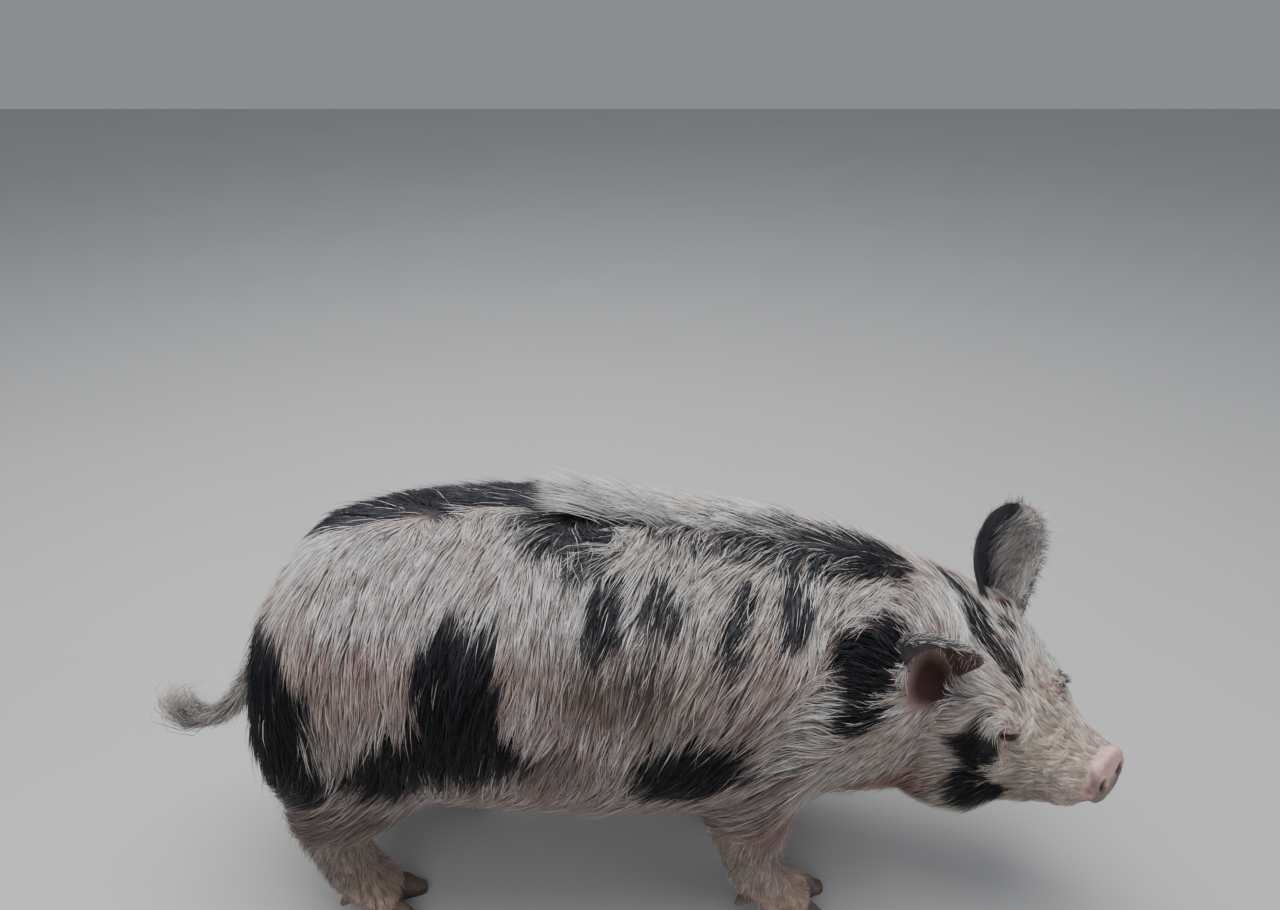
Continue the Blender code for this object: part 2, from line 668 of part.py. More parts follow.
def head_lie(point):
    """On the head the coat radiates back from the snout, and hangs a little under the jaw."""
    along, side, above = (point - HEAD_AT) @ HEAD_TURN
    hang = -0.75 if above < -0.05 else -0.15
    return HEAD_TURN @ np.array([-1.0, 4.0 * np.clip(side, -0.09, 0.09), hang])


def walk(surface, start, lie, length, bend):
    """The middle line of a lock: steps over the hide along its lie, turning slowly to one side."""
    steps = 12
    point, normal = (np.array(value) for value in surface.find_nearest(Vector(start))[:2])
    line = []
    for step in range(steps + 1):
        way = tangent(lie(point), normal)
        turn = math.radians(bend) * (step / steps - 0.3)
        way = math.cos(turn) * way + math.sin(turn) * np.cross(normal, way)
        line.append((point, normal, way))
        point, normal = (np.array(v) for v in surface.find_nearest(Vector(point + way * length / steps))[:2])
    return line


def lock(surface, start, lie, kind, draw, shorter=1.0, higher=0.0):
    """A flat tapered lock: rings of four points, draped over the hide, from a sunk root to a free tip."""
    length = LOCK_LENGTH[kind] * (1 + LOCK_VARIES * draw[0]) * shorter
    width = LOCK_WIDTH[kind] * (1 + LOCK_VARIES * draw[1])
    line = walk(surface, start, lie, length, LOCK_BEND * draw[2])
    rings = []
    for at, taper, height, thick in zip(LOCK_AT, LOCK_TAPER, LOCK_HEIGHT[kind], LOCK_THICKNESS[kind]):
        point, normal, way = line[round(at * (len(line) - 1))]
        height = height + higher * at
        aside = np.cross(normal, way)
        edges = []
        for turn in (1, -1):
            reach = point + aside * turn * width * taper / 2
            place, slope = (np.array(value) for value in surface.find_nearest(Vector(reach))[:2])
            edges.append(place + slope * (height - 0.25 * thick))
        middle = point + normal * height
        top, bottom = middle + normal * thick / 2, middle - normal * thick / 2
        rings.append([edges[0], top, edges[1], bottom])
    point, normal, _ = line[-1]
    return rings, point + normal * (LOCK_HEIGHT[kind][-1] * (1 + 0.2 * draw[3]) + higher)


def strip(name, rings, tip):
    """Rings of four points closed by a flat root and a pointed tip."""
    count = len(rings)
    points = [point for ring in rings for point in ring] + [tip]
    faces = [[3, 2, 1, 0]]
    for row in range(count - 1):
        for side in range(4):
            a, b = 4 * row + side, 4 * row + (side + 1) % 4
            faces.append([a, b, b + 4, a + 4])
    last = 4 * (count - 1)
    faces += [[last + side, last + (side + 1) % 4, len(points) - 1] for side in range(4)]
    return outward(mesh_object(name, points, faces))


def tree_of(thing):
    return BVHTree.FromPolygons([v.co for v in thing.data.vertices], [f.vertices[:] for f in thing.data.polygons])


def ahead_of(cut, point):
    at, yaw, pitch = cut
    return (point - at) @ turned(yaw, pitch)[:, 0]


def roots(skin, kind, allowed, lie, chance):
    """Root points spread over the allowed part of the hide, so far apart along and across the lie."""
    along_step, side_step = LOCK_APART[kind]
    order = list(range(len(skin.data.vertices)))
    chance.shuffle(order)
    chosen = []
    for index in order:
        vertex = skin.data.vertices[index]
        point, normal = np.array(vertex.co), np.array(vertex.normal)
        if not allowed(point, normal):
            continue
        way = tangent(lie(point), normal)
        aside = np.cross(normal, way)
        near = ((other - point) for other in chosen)
        if any(abs(gap @ way) < along_step and abs(gap @ aside) < side_step
               and abs(gap @ normal) < along_step for gap in near):
            continue
        chosen.append(point)
    return chosen


def clear_lock(surface, start, lie, kind, draw, others):
    """The lock at its full length or, where it would meet another node, shorter or higher; none if neither."""
    for shorter, higher in ((1.0, 0.0), (1.0, 0.005), (0.75, 0.0), (0.75, 0.006), (0.55, 0.003)):
        made = strip("lock", *lock(surface, start, lie, kind, draw, shorter, higher))
        margin = grown(copied(made, "margin"), 1.5 * GAP)
        crossed = any(tree_of(margin).overlap(other) for other in others)
        bpy.data.objects.remove(margin)
        if not crossed:
            return made
        bpy.data.objects.remove(made)
    return None


def crest_lock(surface, index, chance):
    """A blade of long bristles that stands off the spine and leans back."""
    share = index / (CREST_LOCKS - 1)
    x = CREST_X[0] + (CREST_X[1] - CREST_X[0]) * share
    tall = CREST_LENGTH * (0.55 + 0.45 * math.sin(math.pi * share)) * chance.uniform(0.92, 1.08)
    aside = 0.010 * (-1) ** index
    foot, _ = (np.array(v) for v in surface.find_nearest(Vector((x, aside - 0.04 * max(0, x - 0.1), 0.5)))[:2])
    lean = math.radians(CREST_LEAN + chance.uniform(-6, 6))
    rings = []
    for at, wide, thick in ((-0.12, 0.9, 0.010), (0.25, 1.0, 0.008), (0.62, 0.72, 0.005)):
        droop = lean + 0.5 * at
        middle = foot + np.array([-math.sin(droop), 1.6 * aside, math.cos(droop)]) * tall * at
        along = np.array([math.cos(droop), 0, math.sin(droop)]) * CREST_WIDTH * wide / 2
        across = np.array([0, thick / 2, 0])
        rings.append([middle + along, middle + across, middle - along, middle - across])
    droop = lean + 0.5
    tip = foot + np.array([-math.sin(droop), 2.2 * aside, math.cos(droop)]) * tall
    return strip("crest", rings, tip)


def tuft_strand(share, chance):
    """One strand of the tail's tuft, sweeping back from the end of the tail and curling up."""
    start = eased(np.arange(len(TAIL_PATH)), np.array(TAIL_PATH), [2.9 + 1.6 * share])[0]
    drift = np.array([chance.uniform(-1, 1) for _ in range(3)])
    spread = 2 * share - 1
    end = start + drift * [0, 0.004, 0] + [-0.052 - 0.012 * drift[0], -0.004 + 0.010 * drift[1], 0.030 * spread - 0.008]
    bend = start + (end - start) * 0.5 + [0, 0, -0.016]
    curl = end + [-0.012 + 0.006 * drift[2], 0.006 * drift[1], 0.026 + 0.010 * spread]
    line = eased([0, 1, 2, 3], np.array([start, bend, end, curl]), np.linspace(0, 3, 5))
    along = unit(np.gradient(line, axis=0))
    aside = unit(np.cross(along, [0, 1, 0.4 * drift[0]]))
    flat = np.cross(along, aside)
    rings = []
    for row, (wide, thick) in enumerate(((0.010, 0.006), (0.014, 0.005), (0.012, 0.0036), (0.008, 0.0024))):
        half, thin = aside[row] * wide / 2, flat[row] * thick / 2
        rings.append([line[row] + half, line[row] + thin, line[row] - half, line[row] - thin])
    return strip("strand", rings, line[-1])


def united(thing, pieces):
    """Adds the pieces to the object in one union."""
    group = bpy.data.collections.new("pieces")
    for piece in pieces:
        group.objects.link(piece)
    tool = thing.modifiers.new("coat", "BOOLEAN")
    tool.operation, tool.solver = "UNION", COAT_SOLVER
    tool.operand_type, tool.collection = "COLLECTION", group
    settled(thing)
    for piece in pieces:
        bpy.data.objects.remove(piece)
    bpy.data.collections.remove(group)
    return thing


def tail():
    path = eased(np.arange(len(TAIL_PATH)), np.array(TAIL_PATH), np.linspace(0, len(TAIL_PATH) - 1, 12))
    knots = np.arange(len(TAIL_RADII))
    radii = eased(knots, np.array(TAIL_RADII)[:, None], np.linspace(0, len(TAIL_RADII) - 1, 12))[:, 0]
    return tube("tail", path, radii, 8)


def teat(x, side):
    """A small blunt cone that leans out under the belly."""
    frame = turned(0, 0, -side * 18)
    top = np.array([x, side * 0.060, BELLY_HEIGHT + 0.022])
    angle = np.linspace(0, 2 * np.pi, 7, endpoint=False)
    ring = np.outer(np.cos(angle), frame[:, 0]) + np.outer(np.sin(angle), frame[:, 1])
    profile = ((1.30, 0.000), (1.00, 0.018), (0.66, 0.026), (0.50, 0.036))
    rings = [top - frame[:, 2] * down + ring * TEAT_RADIUS * size for size, down in profile]
    return loft("teat", np.array(rings))


def material(name, colour, roughness):
    made = bpy.data.materials.new(name)
    made.use_nodes = True
    shader = made.node_tree.nodes["Principled BSDF"]
    shader.inputs["Base Color"].default_value = (*colour, 1.0)
    shader.inputs["Roughness"].default_value = roughness
    return made


def slot_of(node):
    """The material of a node, read from the first word of its name."""
    kind = node.split("_")[0]
    return {"claw": "horn", "dewclaw": "horn", "eye": "eye", "ear": "ear_skin"}.get(kind, "hide")


def dress(nodes, skin):
    """Roots the coat in torso, neck, head and tail. No lock touches another node or its locks."""
    chance = random.Random(SEED)
    surface = tree_of(skin)
    tail_root = np.array(TAIL_PATH[0])

    def on_torso(point, normal):
        clear = np.linalg.norm(point - tail_root) > 0.040 and point[2] > LOCKS_FROM_HEIGHT
        return clear and normal[2] > -0.62 and ahead_of(NECK_CUT, point) < -0.010

    def on_neck(point, normal):
        ahead = ahead_of(NECK_CUT, point) > 0.026 and ahead_of(HEAD_CUT, point) < -0.010
        return ahead and normal[2] > -0.75

    def on_head(point, normal):
        along, side, above = (point - HEAD_AT) @ HEAD_TURN
        cheek = abs(side) > 0.048 and -0.115 < above < 0.020 and along < 0.075
        poll = abs(side) < 0.055 and above > 0.060 and along < 0.040
        jaw_hair = above < -0.075 and along < 0.105
        return ahead_of(HEAD_CUT, point) > 0.026 and (cheek or poll or jaw_hair)

    bare = {name: tree_of(thing) for name, thing in nodes.items()}
    grown_locks = {}
    for name, kind, allowed, lie in (
        ("torso", "body", on_torso, body_lie),
        ("neck", "neck", on_neck, body_lie),
        ("head", "head", on_head, head_lie),
    ):
        others = [tree for other, tree in bare.items() if other != name]
        others += [tree_of(piece) for pieces in grown_locks.values() for piece in pieces]
        pieces = []
        for start in roots(skin, kind, allowed, lie, chance):
            draw = [chance.uniform(-1, 1) for _ in range(4)]
            made = clear_lock(surface, start, lie, kind, draw, others)
            if made:
                pieces.append(made)
        grown_locks[name] = pieces
    grown_locks["torso"] += [crest_lock(surface, index, chance) for index in range(CREST_LOCKS)]
    grown_locks["tail"] = [tuft_strand(i / (TUFT_STRANDS - 1), chance) for i in range(TUFT_STRANDS)]
    for name, pieces in grown_locks.items():
        united(nodes[name], pieces)


def main():
    for thing in list(bpy.data.objects):
        bpy.data.objects.remove(thing)
    skin = hide()
    coarse = thinned(copied(skin, "coarse"), BODY_TRIANGLES)
    fine = thinned(copied(skin, "fine"), HEAD_DETAIL_TRIANGLES)
    nodes = {}

    head = boolean(fine, beyond(HEAD_CUT, GAP / 2), "INTERSECT")
    path, out = mouth_path(head)
    fade = np.sin(np.linspace(0.04, 0.96, len(path)) * math.pi) ** 0.35
    boolean(head, tube("lips", path - out * LIP_SUNK, LIP_RADIUS * fade), "UNION")
    boolean(head, tube("mouth", path + out * MOUTH_PROUD, MOUTH_RADIUS), "DIFFERENCE")
    for side in SIDES.values():
        boolean(head, nostril(side), "DIFFERENCE")
        boolean(head, eye(side, GAP), "DIFFERENCE")
        boolean(head, eye_slit(side), "DIFFERENCE")
    for name in SIDES:
        nodes["ear_" + name] = ear(name)
        nodes["eye_" + name] = eye(SIDES[name])
        boolean(head, grown(copied(nodes["ear_" + name], "socket"), 1.5 * GAP), "DIFFERENCE")
    nodes["head"] = head

    nodes["neck"] = boolean(copied(coarse, "neck"), beyond(NECK_CUT, GAP / 2), "INTERSECT")
    boolean(nodes["neck"], beyond(HEAD_CUT, -GAP / 2), "DIFFERENCE")
    for name in SIDES:
        boolean(nodes["neck"], grown(copied(nodes["ear_" + name], "socket"), 1.5 * GAP), "DIFFERENCE")

    body = boolean(copied(coarse, "body"), beyond(NECK_CUT, -GAP / 2), "DIFFERENCE")
    torso = copied(body, "torso")
    feet = [("front", name, FRONT_CUT_X, FRONT_FOOT_X[name]) for name in SIDES]
    feet += [("hind", name, HIND_CUT_X, HIND_FOOT_X[name]) for name in SIDES]
    for place, name, x_range, foot_x in feet:
        side = SIDES[name]
        leg = boolean(copied(body, "leg"), leg_block(side, x_range), "INTERSECT")
        boolean(torso, leg_block(side, x_range, GAP), "DIFFERENCE")
        for inner, which in ((-side, "inner"), (side, "outer")):
            y = side * FOOT_SIDE
            claws = {"claw": claw(foot_x + CLAW_AHEAD[place], y, inner), "dewclaw": dewclaw(foot_x, y, inner)}
            for kind, made in claws.items():
                boolean(leg, grown(copied(made, "socket"), 1.5 * GAP), "DIFFERENCE")
                nodes[f"{kind}_{place}_{name}_{which}"] = made
        nodes[f"leg_{place}_{name}"] = leg
    nodes["tail"] = tail()
    boolean(torso, grown(copied(nodes["tail"], "socket"), 1.5 * GAP), "DIFFERENCE")
    for x in np.linspace(*TEAT_X, TEAT_PAIRS):
        for side in SIDES.values():
            boolean(torso, teat(x, side), "UNION")
    nodes["torso"] = torso
    for spare in (coarse, body):
        bpy.data.objects.remove(spare)
    dress(nodes, skin)
    bpy.data.objects.remove(skin)

    slots = {name: material(name, *look) for name, look in MATERIALS.items()}
    animal = bpy.data.collections.new("miniature_pig")
    bpy.context.scene.collection.children.link(animal)
    for name, thing in nodes.items():
        largest_surface(thing)
        thing.name = name
        thing.data.name = name
        thing.data.transform(Matrix.Translation(Vector(-ORIGIN)))
        thing.data.materials.clear()
        thing.data.materials.append(slots[slot_of(name)])
        for face in thing.data.polygons:
            face.use_smooth = True
            face.material_index = 0
        bpy.context.scene.collection.objects.unlink(thing)
        animal.objects.link(thing)


main()
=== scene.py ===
"""A life-size still model of a miniature pig: a spotted sow with a long bristly coat, walking with her
head low and turned to the right. +X is forward, +Y is her left, +Z is up; metres."""

import itertools
import math

import bmesh
import bpy
import numpy as np
from mathutils import Euler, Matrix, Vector
from mathutils.bvhtree import BVHTree
from mathutils.kdtree import KDTree


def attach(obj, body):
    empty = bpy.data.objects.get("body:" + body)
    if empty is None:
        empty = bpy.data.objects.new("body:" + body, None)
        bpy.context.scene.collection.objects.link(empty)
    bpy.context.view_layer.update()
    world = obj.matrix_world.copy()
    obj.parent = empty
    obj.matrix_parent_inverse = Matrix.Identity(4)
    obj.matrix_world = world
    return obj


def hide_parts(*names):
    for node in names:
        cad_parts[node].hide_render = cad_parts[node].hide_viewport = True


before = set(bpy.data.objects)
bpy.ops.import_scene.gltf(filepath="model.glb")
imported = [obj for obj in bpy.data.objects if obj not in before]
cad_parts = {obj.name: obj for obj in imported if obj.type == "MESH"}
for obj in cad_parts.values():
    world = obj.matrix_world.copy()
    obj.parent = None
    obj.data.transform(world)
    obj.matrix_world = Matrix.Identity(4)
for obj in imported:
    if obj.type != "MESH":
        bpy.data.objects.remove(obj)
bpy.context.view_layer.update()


# The hide. One closed skin over the whole animal, snout, legs, tail and teats included: thick pink pig
# skin, dark under the dark spots. It is made as the animal is, from masses of fat and muscle fused
# twice, first smoothed hard, then again with the finer forms of face and feet over them.

# The middle of the whole animal's footprint, from a point under the middle of the trunk
MIDDLE = np.array([-0.0355, -0.0005, 0.0])
BACK_HEIGHT, BELLY_HEIGHT, TRUNK_HALF_WIDTH = 0.506, 0.158, 0.184
HEAD_AT = np.array([0.373, -0.034, 0.296]) - MIDDLE
FACE_LENGTH = 0.190
SNOUT_YAW, SNOUT_PITCH = 0.0, 10.0
SNOUT_AT = np.array([FACE_LENGTH, 0.0, 0.009])
SIDES = {"right": -1, "left": 1}
FOOT_SIDE = 0.108
FRONT_FOOT_X = {"right": 0.128, "left": 0.070}
HIND_FOOT_X = {"right": -0.358, "left": -0.265}
EYE_RADIUS, EYE_AT, EYE_YAW, EYE_PITCH = 0.0100, (0.088, 0.0410, 0.041), 58.0, 4.0


def eased(knots, values, at):
    """A cubic through the values at their knots, its slope at each knot set by the knots beside it."""
    knots, values = np.asarray(knots, float), np.asarray(values, float)
    slope = np.gradient(values, knots, axis=0)
    i = np.clip(np.searchsorted(knots, at, side="right") - 1, 0, len(knots) - 2)
    step = (knots[i + 1] - knots[i])[:, None]
    u = (np.asarray(at) - knots[i])[:, None] / step
    start = (2 * u**3 - 3 * u**2 + 1) * values[i] + (u**3 - 2 * u**2 + u) * step * slope[i]
    end = (3 * u**2 - 2 * u**3) * values[i + 1] + (u**3 - u**2) * step * slope[i + 1]
    return start + end


def turned(yaw, pitch, roll=0.0):
    """Forward, left and up as columns: yaw turns right, pitch lifts the nose, roll drops the right side."""
    y, p, r = (math.radians(angle) for angle in (yaw, pitch, roll))
    forward = np.array([math.cos(y) * math.cos(p), -math.sin(y) * math.cos(p), math.sin(p)])
    level = np.array([math.sin(y), math.cos(y), 0.0])
    above = np.cross(forward, level)
    left = math.cos(r) * level + math.sin(r) * above
    up = math.cos(r) * above - math.sin(r) * level
    return np.stack([forward, left, up], axis=1)


def unit(vector):
    return vector / np.maximum(np.linalg.norm(vector, axis=-1, keepdims=True), 1e-12)


def smooth_step(low, high, value):
    """0 below low, 1 above high, and a cubic ease between."""
    u = np.clip((value - low) / (high - low), 0, 1)
    return u * u * (3 - 2 * u)


def bell(value, width):
    """1 at 0, falling off both ways: exp(-(value / width)^2)."""
    return np.exp(-((value / width) ** 2))


def clouds(points, size, seed=0):
    """Smooth noise from -1 to 1: a random number at each corner of a lattice with cells of that size,
    blended across each cell by a cubic ease."""
    place = points / size
    cell = np.floor(place)
    part = place - cell
    part = part * part * (3 - 2 * part)
    total = np.zeros(len(points))
    for corner in itertools.product((0, 1), repeat=3):
        code = np.sin((cell + corner) @ [12.9898, 78.233, 37.719] + 7.13 * seed) * 43758.5453
        weight = np.prod(np.where(np.array(corner) == 1, part, 1 - part), axis=1)
        total += weight * (code - np.floor(code))
    return 2 * total - 1


HEAD_TURN = turned(48.0, -6.5, 13.0)
SNOUT_TURN = HEAD_TURN @ turned(SNOUT_YAW, SNOUT_PITCH)


def from_head(points):
    """Points of the head's frame (ahead of the ears, left, up), in the animal's."""
    return HEAD_AT + np.asarray(points, float) @ HEAD_TURN.T


def in_head(points):
    """Points of the animal's frame, in the head's."""
    return (points - HEAD_AT) @ HEAD_TURN


def rings_of(sections, rings, around, domes, square=2.2, dome_rings=4):
    """Rings along a run of sections, each x, y, z, yaw, pitch, half width, height above, depth below.
    A section is a superellipse. The ends close in quarter ellipses as long as the two domes."""
    sections = np.asarray(sections, float)
    run = np.r_[0, np.cumsum(np.linalg.norm(np.diff(sections[:, :3], axis=0), axis=1))]
    rows = eased(run, sections, np.linspace(0, run[-1], rings))
    angle = np.linspace(0, 2 * np.pi, around, endpoint=False)
    across = np.sign(np.cos(angle)) * np.abs(np.cos(angle)) ** (2 / square)
    upward = np.sign(np.sin(angle)) * np.abs(np.sin(angle)) ** (2 / square)

    def ring(row, scale=1.0, shift=0.0):
        frame_here = turned(row[3], row[4])
        height = np.where(upward > 0, row[6], row[7])
        offset = np.outer(across * row[5], frame_here[:, 1]) + np.outer(upward * height, frame_here[:, 2])
        return row[:3] + frame_here[:, 0] * shift + scale * offset

    bend = np.linspace(0.12, 0.85, dome_rings) * math.pi / 2
    first = [ring(rows[0], math.sin(a), -domes[0] * math.cos(a)) for a in bend]
    last = [ring(rows[-1], math.sin(a), domes[1] * math.cos(a)) for a in bend[::-1]]
    return np.array(first + [ring(row) for row in rows] + last)


def tube_rings(path, radii, around, up=(0, 0, 1)):
    """Round rings of the given radii square to a path."""
    along = unit(np.gradient(path, axis=0))
    aside = unit(np.cross(along, up))
    other = np.cross(along, aside)
    angle = np.linspace(0, 2 * np.pi, around, endpoint=False)[None, :, None]
    spokes = np.cos(angle) * aside[:, None] + np.sin(angle) * other[:, None]
    return path[:, None] + spokes * radii[:, None, None]


def closed_tube(rings):
    """Points and triangles of a tube of rings, closed at each end by a fan round the end's middle."""
    count, around = rings.shape[:2]
    row, column = np.meshgrid(np.arange(count - 1), np.arange(around), indexing="ij")
    a = (row * around + column).ravel()
    b = (row * around + (column + 1) % around).ravel()
    sides = np.concatenate([np.stack([a, b, b + around], axis=1),
                            np.stack([a, b + around, a + around], axis=1)])
    points = np.concatenate([rings.reshape(-1, 3), rings[:1].mean(axis=1), rings[-1:].mean(axis=1)])
    here = np.arange(around)
    ahead = (here + 1) % around
    start, end = count * around, count * around + 1
    last = (count - 1) * around
    caps = np.concatenate([np.stack([ahead, here, here * 0 + start], axis=1),
                           np.stack([last + here, last + ahead, here * 0 + end], axis=1)])
    return points, np.concatenate([sides, caps])


def ball(centre, radii, turn=None, around=20):
    """Points and triangles of an ellipsoid: rings of latitude along its first axis."""
    turn = np.eye(3) if turn is None else turn
    bend = np.linspace(0, np.pi, around // 2 + 1)[1:-1]
    angle = np.linspace(0, 2 * np.pi, around, endpoint=False)
    rings = np.stack([np.outer(-np.cos(bend), np.ones(around)), np.outer(np.sin(bend), np.cos(angle)),
                      np.outer(np.sin(bend), np.sin(angle))], axis=2)
    points, faces = closed_tube(rings)
    points[-2:] = [[-1, 0, 0], [1, 0, 0]]
    return np.asarray(centre) + (points * radii) @ turn.T, faces


def gathered(parts):
    """Several pairs of points and faces as one pair."""
    shift = np.cumsum([0] + [len(points) for points, _ in parts[:-1]])
    return (np.concatenate([points for points, _ in parts]),
            np.concatenate([faces + more for (_, faces), more in zip(parts, shift)]))


def outward(points, faces):
    """The faces turned so that the solid they close has a positive volume."""
    a, b, c = (points[faces[:, i]] for i in range(3))
    volume = np.einsum("ij,ij->i", a, np.cross(b, c)).sum()
    return faces if volume > 0 else faces[:, ::-1]


def mesh_piece(name, points, faces, look=None, colours=None, bake=None):
    """An object made of whole arrays: points, faces of one size, a material, and a colour and a place on
    the bake map for each point."""
    mesh = bpy.data.meshes.new(name)
    mesh.vertices.add(len(points))
    mesh.vertices.foreach_set("co", np.ascontiguousarray(points, np.float32).ravel())
    mesh.loops.add(faces.size)
    mesh.loops.foreach_set("vertex_index", np.ascontiguousarray(faces, np.int32).ravel())
    mesh.polygons.add(len(faces))
    mesh.polygons.foreach_set("loop_start", np.arange(0, faces.size, faces.shape[1], dtype=np.int32))
    mesh.update(calc_edges=True)
    mesh.shade_smooth()
    if colours is not None:
        layer = mesh.color_attributes.new("coat", "FLOAT_COLOR", "POINT")
        layer.data.foreach_set("color", np.c_[colours, np.ones(len(colours))].astype(np.float32).ravel())
    if look is not None:
        mesh.materials.append(look)
    if bake is not None:
        layer = mesh.uv_layers.new(name="OFBake")
        layer.data.foreach_set("uv", bake[faces.ravel()].astype(np.float32).ravel())
    made = bpy.data.objects.new(name, mesh)
    bpy.context.scene.collection.objects.link(made)
    return made


def arrays_of(mesh):
    """Points, unit normals and triangles of a mesh."""
    points = np.empty(len(mesh.vertices) * 3)
    mesh.vertices.foreach_get("co", points)
    normals = np.empty(len(mesh.vertices) * 3)
    mesh.vertex_normals.foreach_get("vector", normals)
    mesh.calc_loop_triangles()
    faces = np.empty(len(mesh.loop_triangles) * 3, np.int32)
    mesh.loop_triangles.foreach_get("vertices", faces)
    return points.reshape(-1, 3), normals.reshape(-1, 3), faces.reshape(-1, 3)


def fused(parts, voxel, smoothing):
    """The outside of all the shells as one skin on a grid of cubes, its creases smoothed."""
    thing = mesh_piece("masses", *gathered(parts))
    fuse = thing.modifiers.new("fuse", "REMESH")
    fuse.mode, fuse.voxel_size = "VOXEL", voxel
    soften = thing.modifiers.new("soften", "SMOOTH")
    soften.factor, soften.iterations = 0.5, smoothing
    graph = bpy.context.evaluated_depsgraph_get()
    mesh = bpy.data.meshes.new_from_object(thing.evaluated_get(graph))
    bpy.data.objects.remove(thing)
    return mesh


def trunk():
    middle, depth = (BACK_HEIGHT + BELLY_HEIGHT) / 2, (BACK_HEIGHT - BELLY_HEIGHT) / 2
    wide = TRUNK_HALF_WIDTH
    sections = [
        (-0.434, 0, middle - 0.018, 0, -6, wide * 0.62, depth * 0.60, depth * 0.54),
        (-0.402, 0, middle - 0.010, 0, -2, wide * 0.78, depth * 0.79, depth * 0.72),
        (-0.330, 0, middle - 0.002, 0, 0, wide * 0.91, depth * 0.91, depth * 0.84),
        (-0.230, 0, middle, 0, 0, wide * 0.98, depth * 0.99, depth * 0.92),
        (-0.100, 0, middle, 0, 0, wide, depth, depth),
        (0.030, 0, middle - 0.004, 1, -1, wide * 0.99, depth * 0.94, depth * 0.98),
        (0.140, -0.002, middle - 0.010, 4, -3, wide * 0.92, depth * 0.89, depth * 0.93),
        (0.220, -0.008, middle - 0.017, 12, -7, wide * 0.82, depth * 0.81, depth * 0.85),
        (0.290, -0.019, middle - 0.028, 24, -10, wide * 0.71, depth * 0.71, depth * 0.80),
        (0.345, -0.034, middle - 0.040, 36, -10, wide * 0.60, depth * 0.60, depth * 0.74),
    ]
    return closed_tube(rings_of(sections, 40, 32, (0.028, 0.02), square=2.35) - MIDDLE)


def crest_fat():
    """Low ridge of fat over the withers and neck."""
    sections = [
        (-0.020, 0.000, 0.462, 0, -6, 0.050, 0.028, 0.03),
        (0.120, -0.002, 0.448, 6, -10, 0.052, 0.030, 0.03),
        (0.230, -0.010, 0.416, 16, -16, 0.048, 0.030, 0.03),
        (0.330, -0.032, 0.364, 34, -22, 0.044, 0.026, 0.03),
    ]
    return closed_tube(rings_of(sections, 16, 14, (0.05, 0.03)) - MIDDLE)


def head_tube(rows, rings, around, domes, square=2.2):
    """A tube along the head: each row is how far ahead, how high, half width, height above, depth below."""
    sections = [(x, 0, z, 0, 0, w, t, b) for x, z, w, t, b in rows]
    return closed_tube(from_head(rings_of(sections, rings, around, domes, square)))


def skull():
    """The head from behind the ears to the front of the lips, dished between brow and snout."""
    rows = [
        (-0.030, 0.000, 0.090, 0.080, 0.100),
        (0.015, 0.000, 0.094, 0.086, 0.104),
        (0.055, -0.002, 0.084, 0.078, 0.098),
        (0.090, -0.006, 0.066, 0.058, 0.080),
        (0.120, -0.006, 0.052, 0.043, 0.062),
        (0.150, -0.004, 0.043, 0.036, 0.050),
        (FACE_LENGTH - 0.014, -0.002, 0.037, 0.032, 0.034),
    ]
    return head_tube(rows, 24, 28, (0.030, 0.006), 2.3)


def jaw():
    """The lower jaw, narrower than the muzzle and shorter, deepening to the throat."""
    rows = [
        (-0.020, -0.100, 0.068, 0.040, 0.040),
        (0.030, -0.094, 0.062, 0.034, 0.038),
        (0.080, -0.080, 0.049, 0.026, 0.034),
        (0.120, -0.066, 0.037, 0.022, 0.026),
        (FACE_LENGTH - 0.040, -0.055, 0.028, 0.016, 0.016),
    ]
    return head_tube(rows, 16, 20, (0.03, 0.014))


def face_mass(at, radii, side=1, yaw=0.0, pitch=0.0):
    """An ellipsoid of fat or muscle placed in the head's frame."""
    return ball(from_head((at[0], side * at[1], at[2])), radii, HEAD_TURN @ turned(-side * yaw, pitch))


def face_masses(side):
    return [
        face_mass((0.018, 0.060, -0.060), (0.076, 0.048, 0.062), side),
        face_mass((0.050, 0.048, 0.000), (0.060, 0.032, 0.036), side, 16, -6),
        face_mass((0.062, 0.034, 0.048), (0.050, 0.032, 0.020), side, 14, -30),
        face_mass((0.016, 0.054, 0.032), (0.056, 0.034, 0.040), side),
        face_mass((-0.010, 0.070, 0.052), (0.034, 0.030, 0.034), side),
        face_mass((-0.056, 0.062, 0.000), (0.080, 0.044, 0.080), side),
    ]


def fine_face_masses(side):
    """Upper lip, eyelids, and the folds over and under the eye."""
    return [
        face_mass((0.132, 0.026, -0.030), (0.046, 0.017, 0.018), side, 10, 8),
        face_mass(EYE_AT, (0.0150,) * 3, side),
        face_mass((0.082, 0.044, 0.054), (0.028, 0.010, 0.006), side, 22, -26),
        face_mass((0.096, 0.048, 0.014), (0.026, 0.008, 0.006), side, 26, -38),
    ]


def snout_masses():
    """The bare disc with its rolled rim, and the folds of skin behind it."""
    rows = [(-0.018, 0.030, 0.028, 0.031), (-0.008, 0.032, 0.033, 0.033), (-0.001, 0.0325, 0.034, 0.034)]
    sections = [(x, 0, 0, 0, 0, w, t, b) for x, w, t, b in rows]
    rings = rings_of(sections, 7, 28, (0.004, 0.005), square=2.3)
    tilt = turned(SNOUT_YAW, SNOUT_PITCH)
    disc = closed_tube(from_head(SNOUT_AT + rings @ tilt.T))
    folds = ((0.163, 0.026, 0.028), (0.146, 0.029, 0.032), (0.128, 0.034, 0.032))
    return [disc] + [face_mass((along, 0, high), (0.0070, wide, 0.0065)) for along, high, wide in folds]


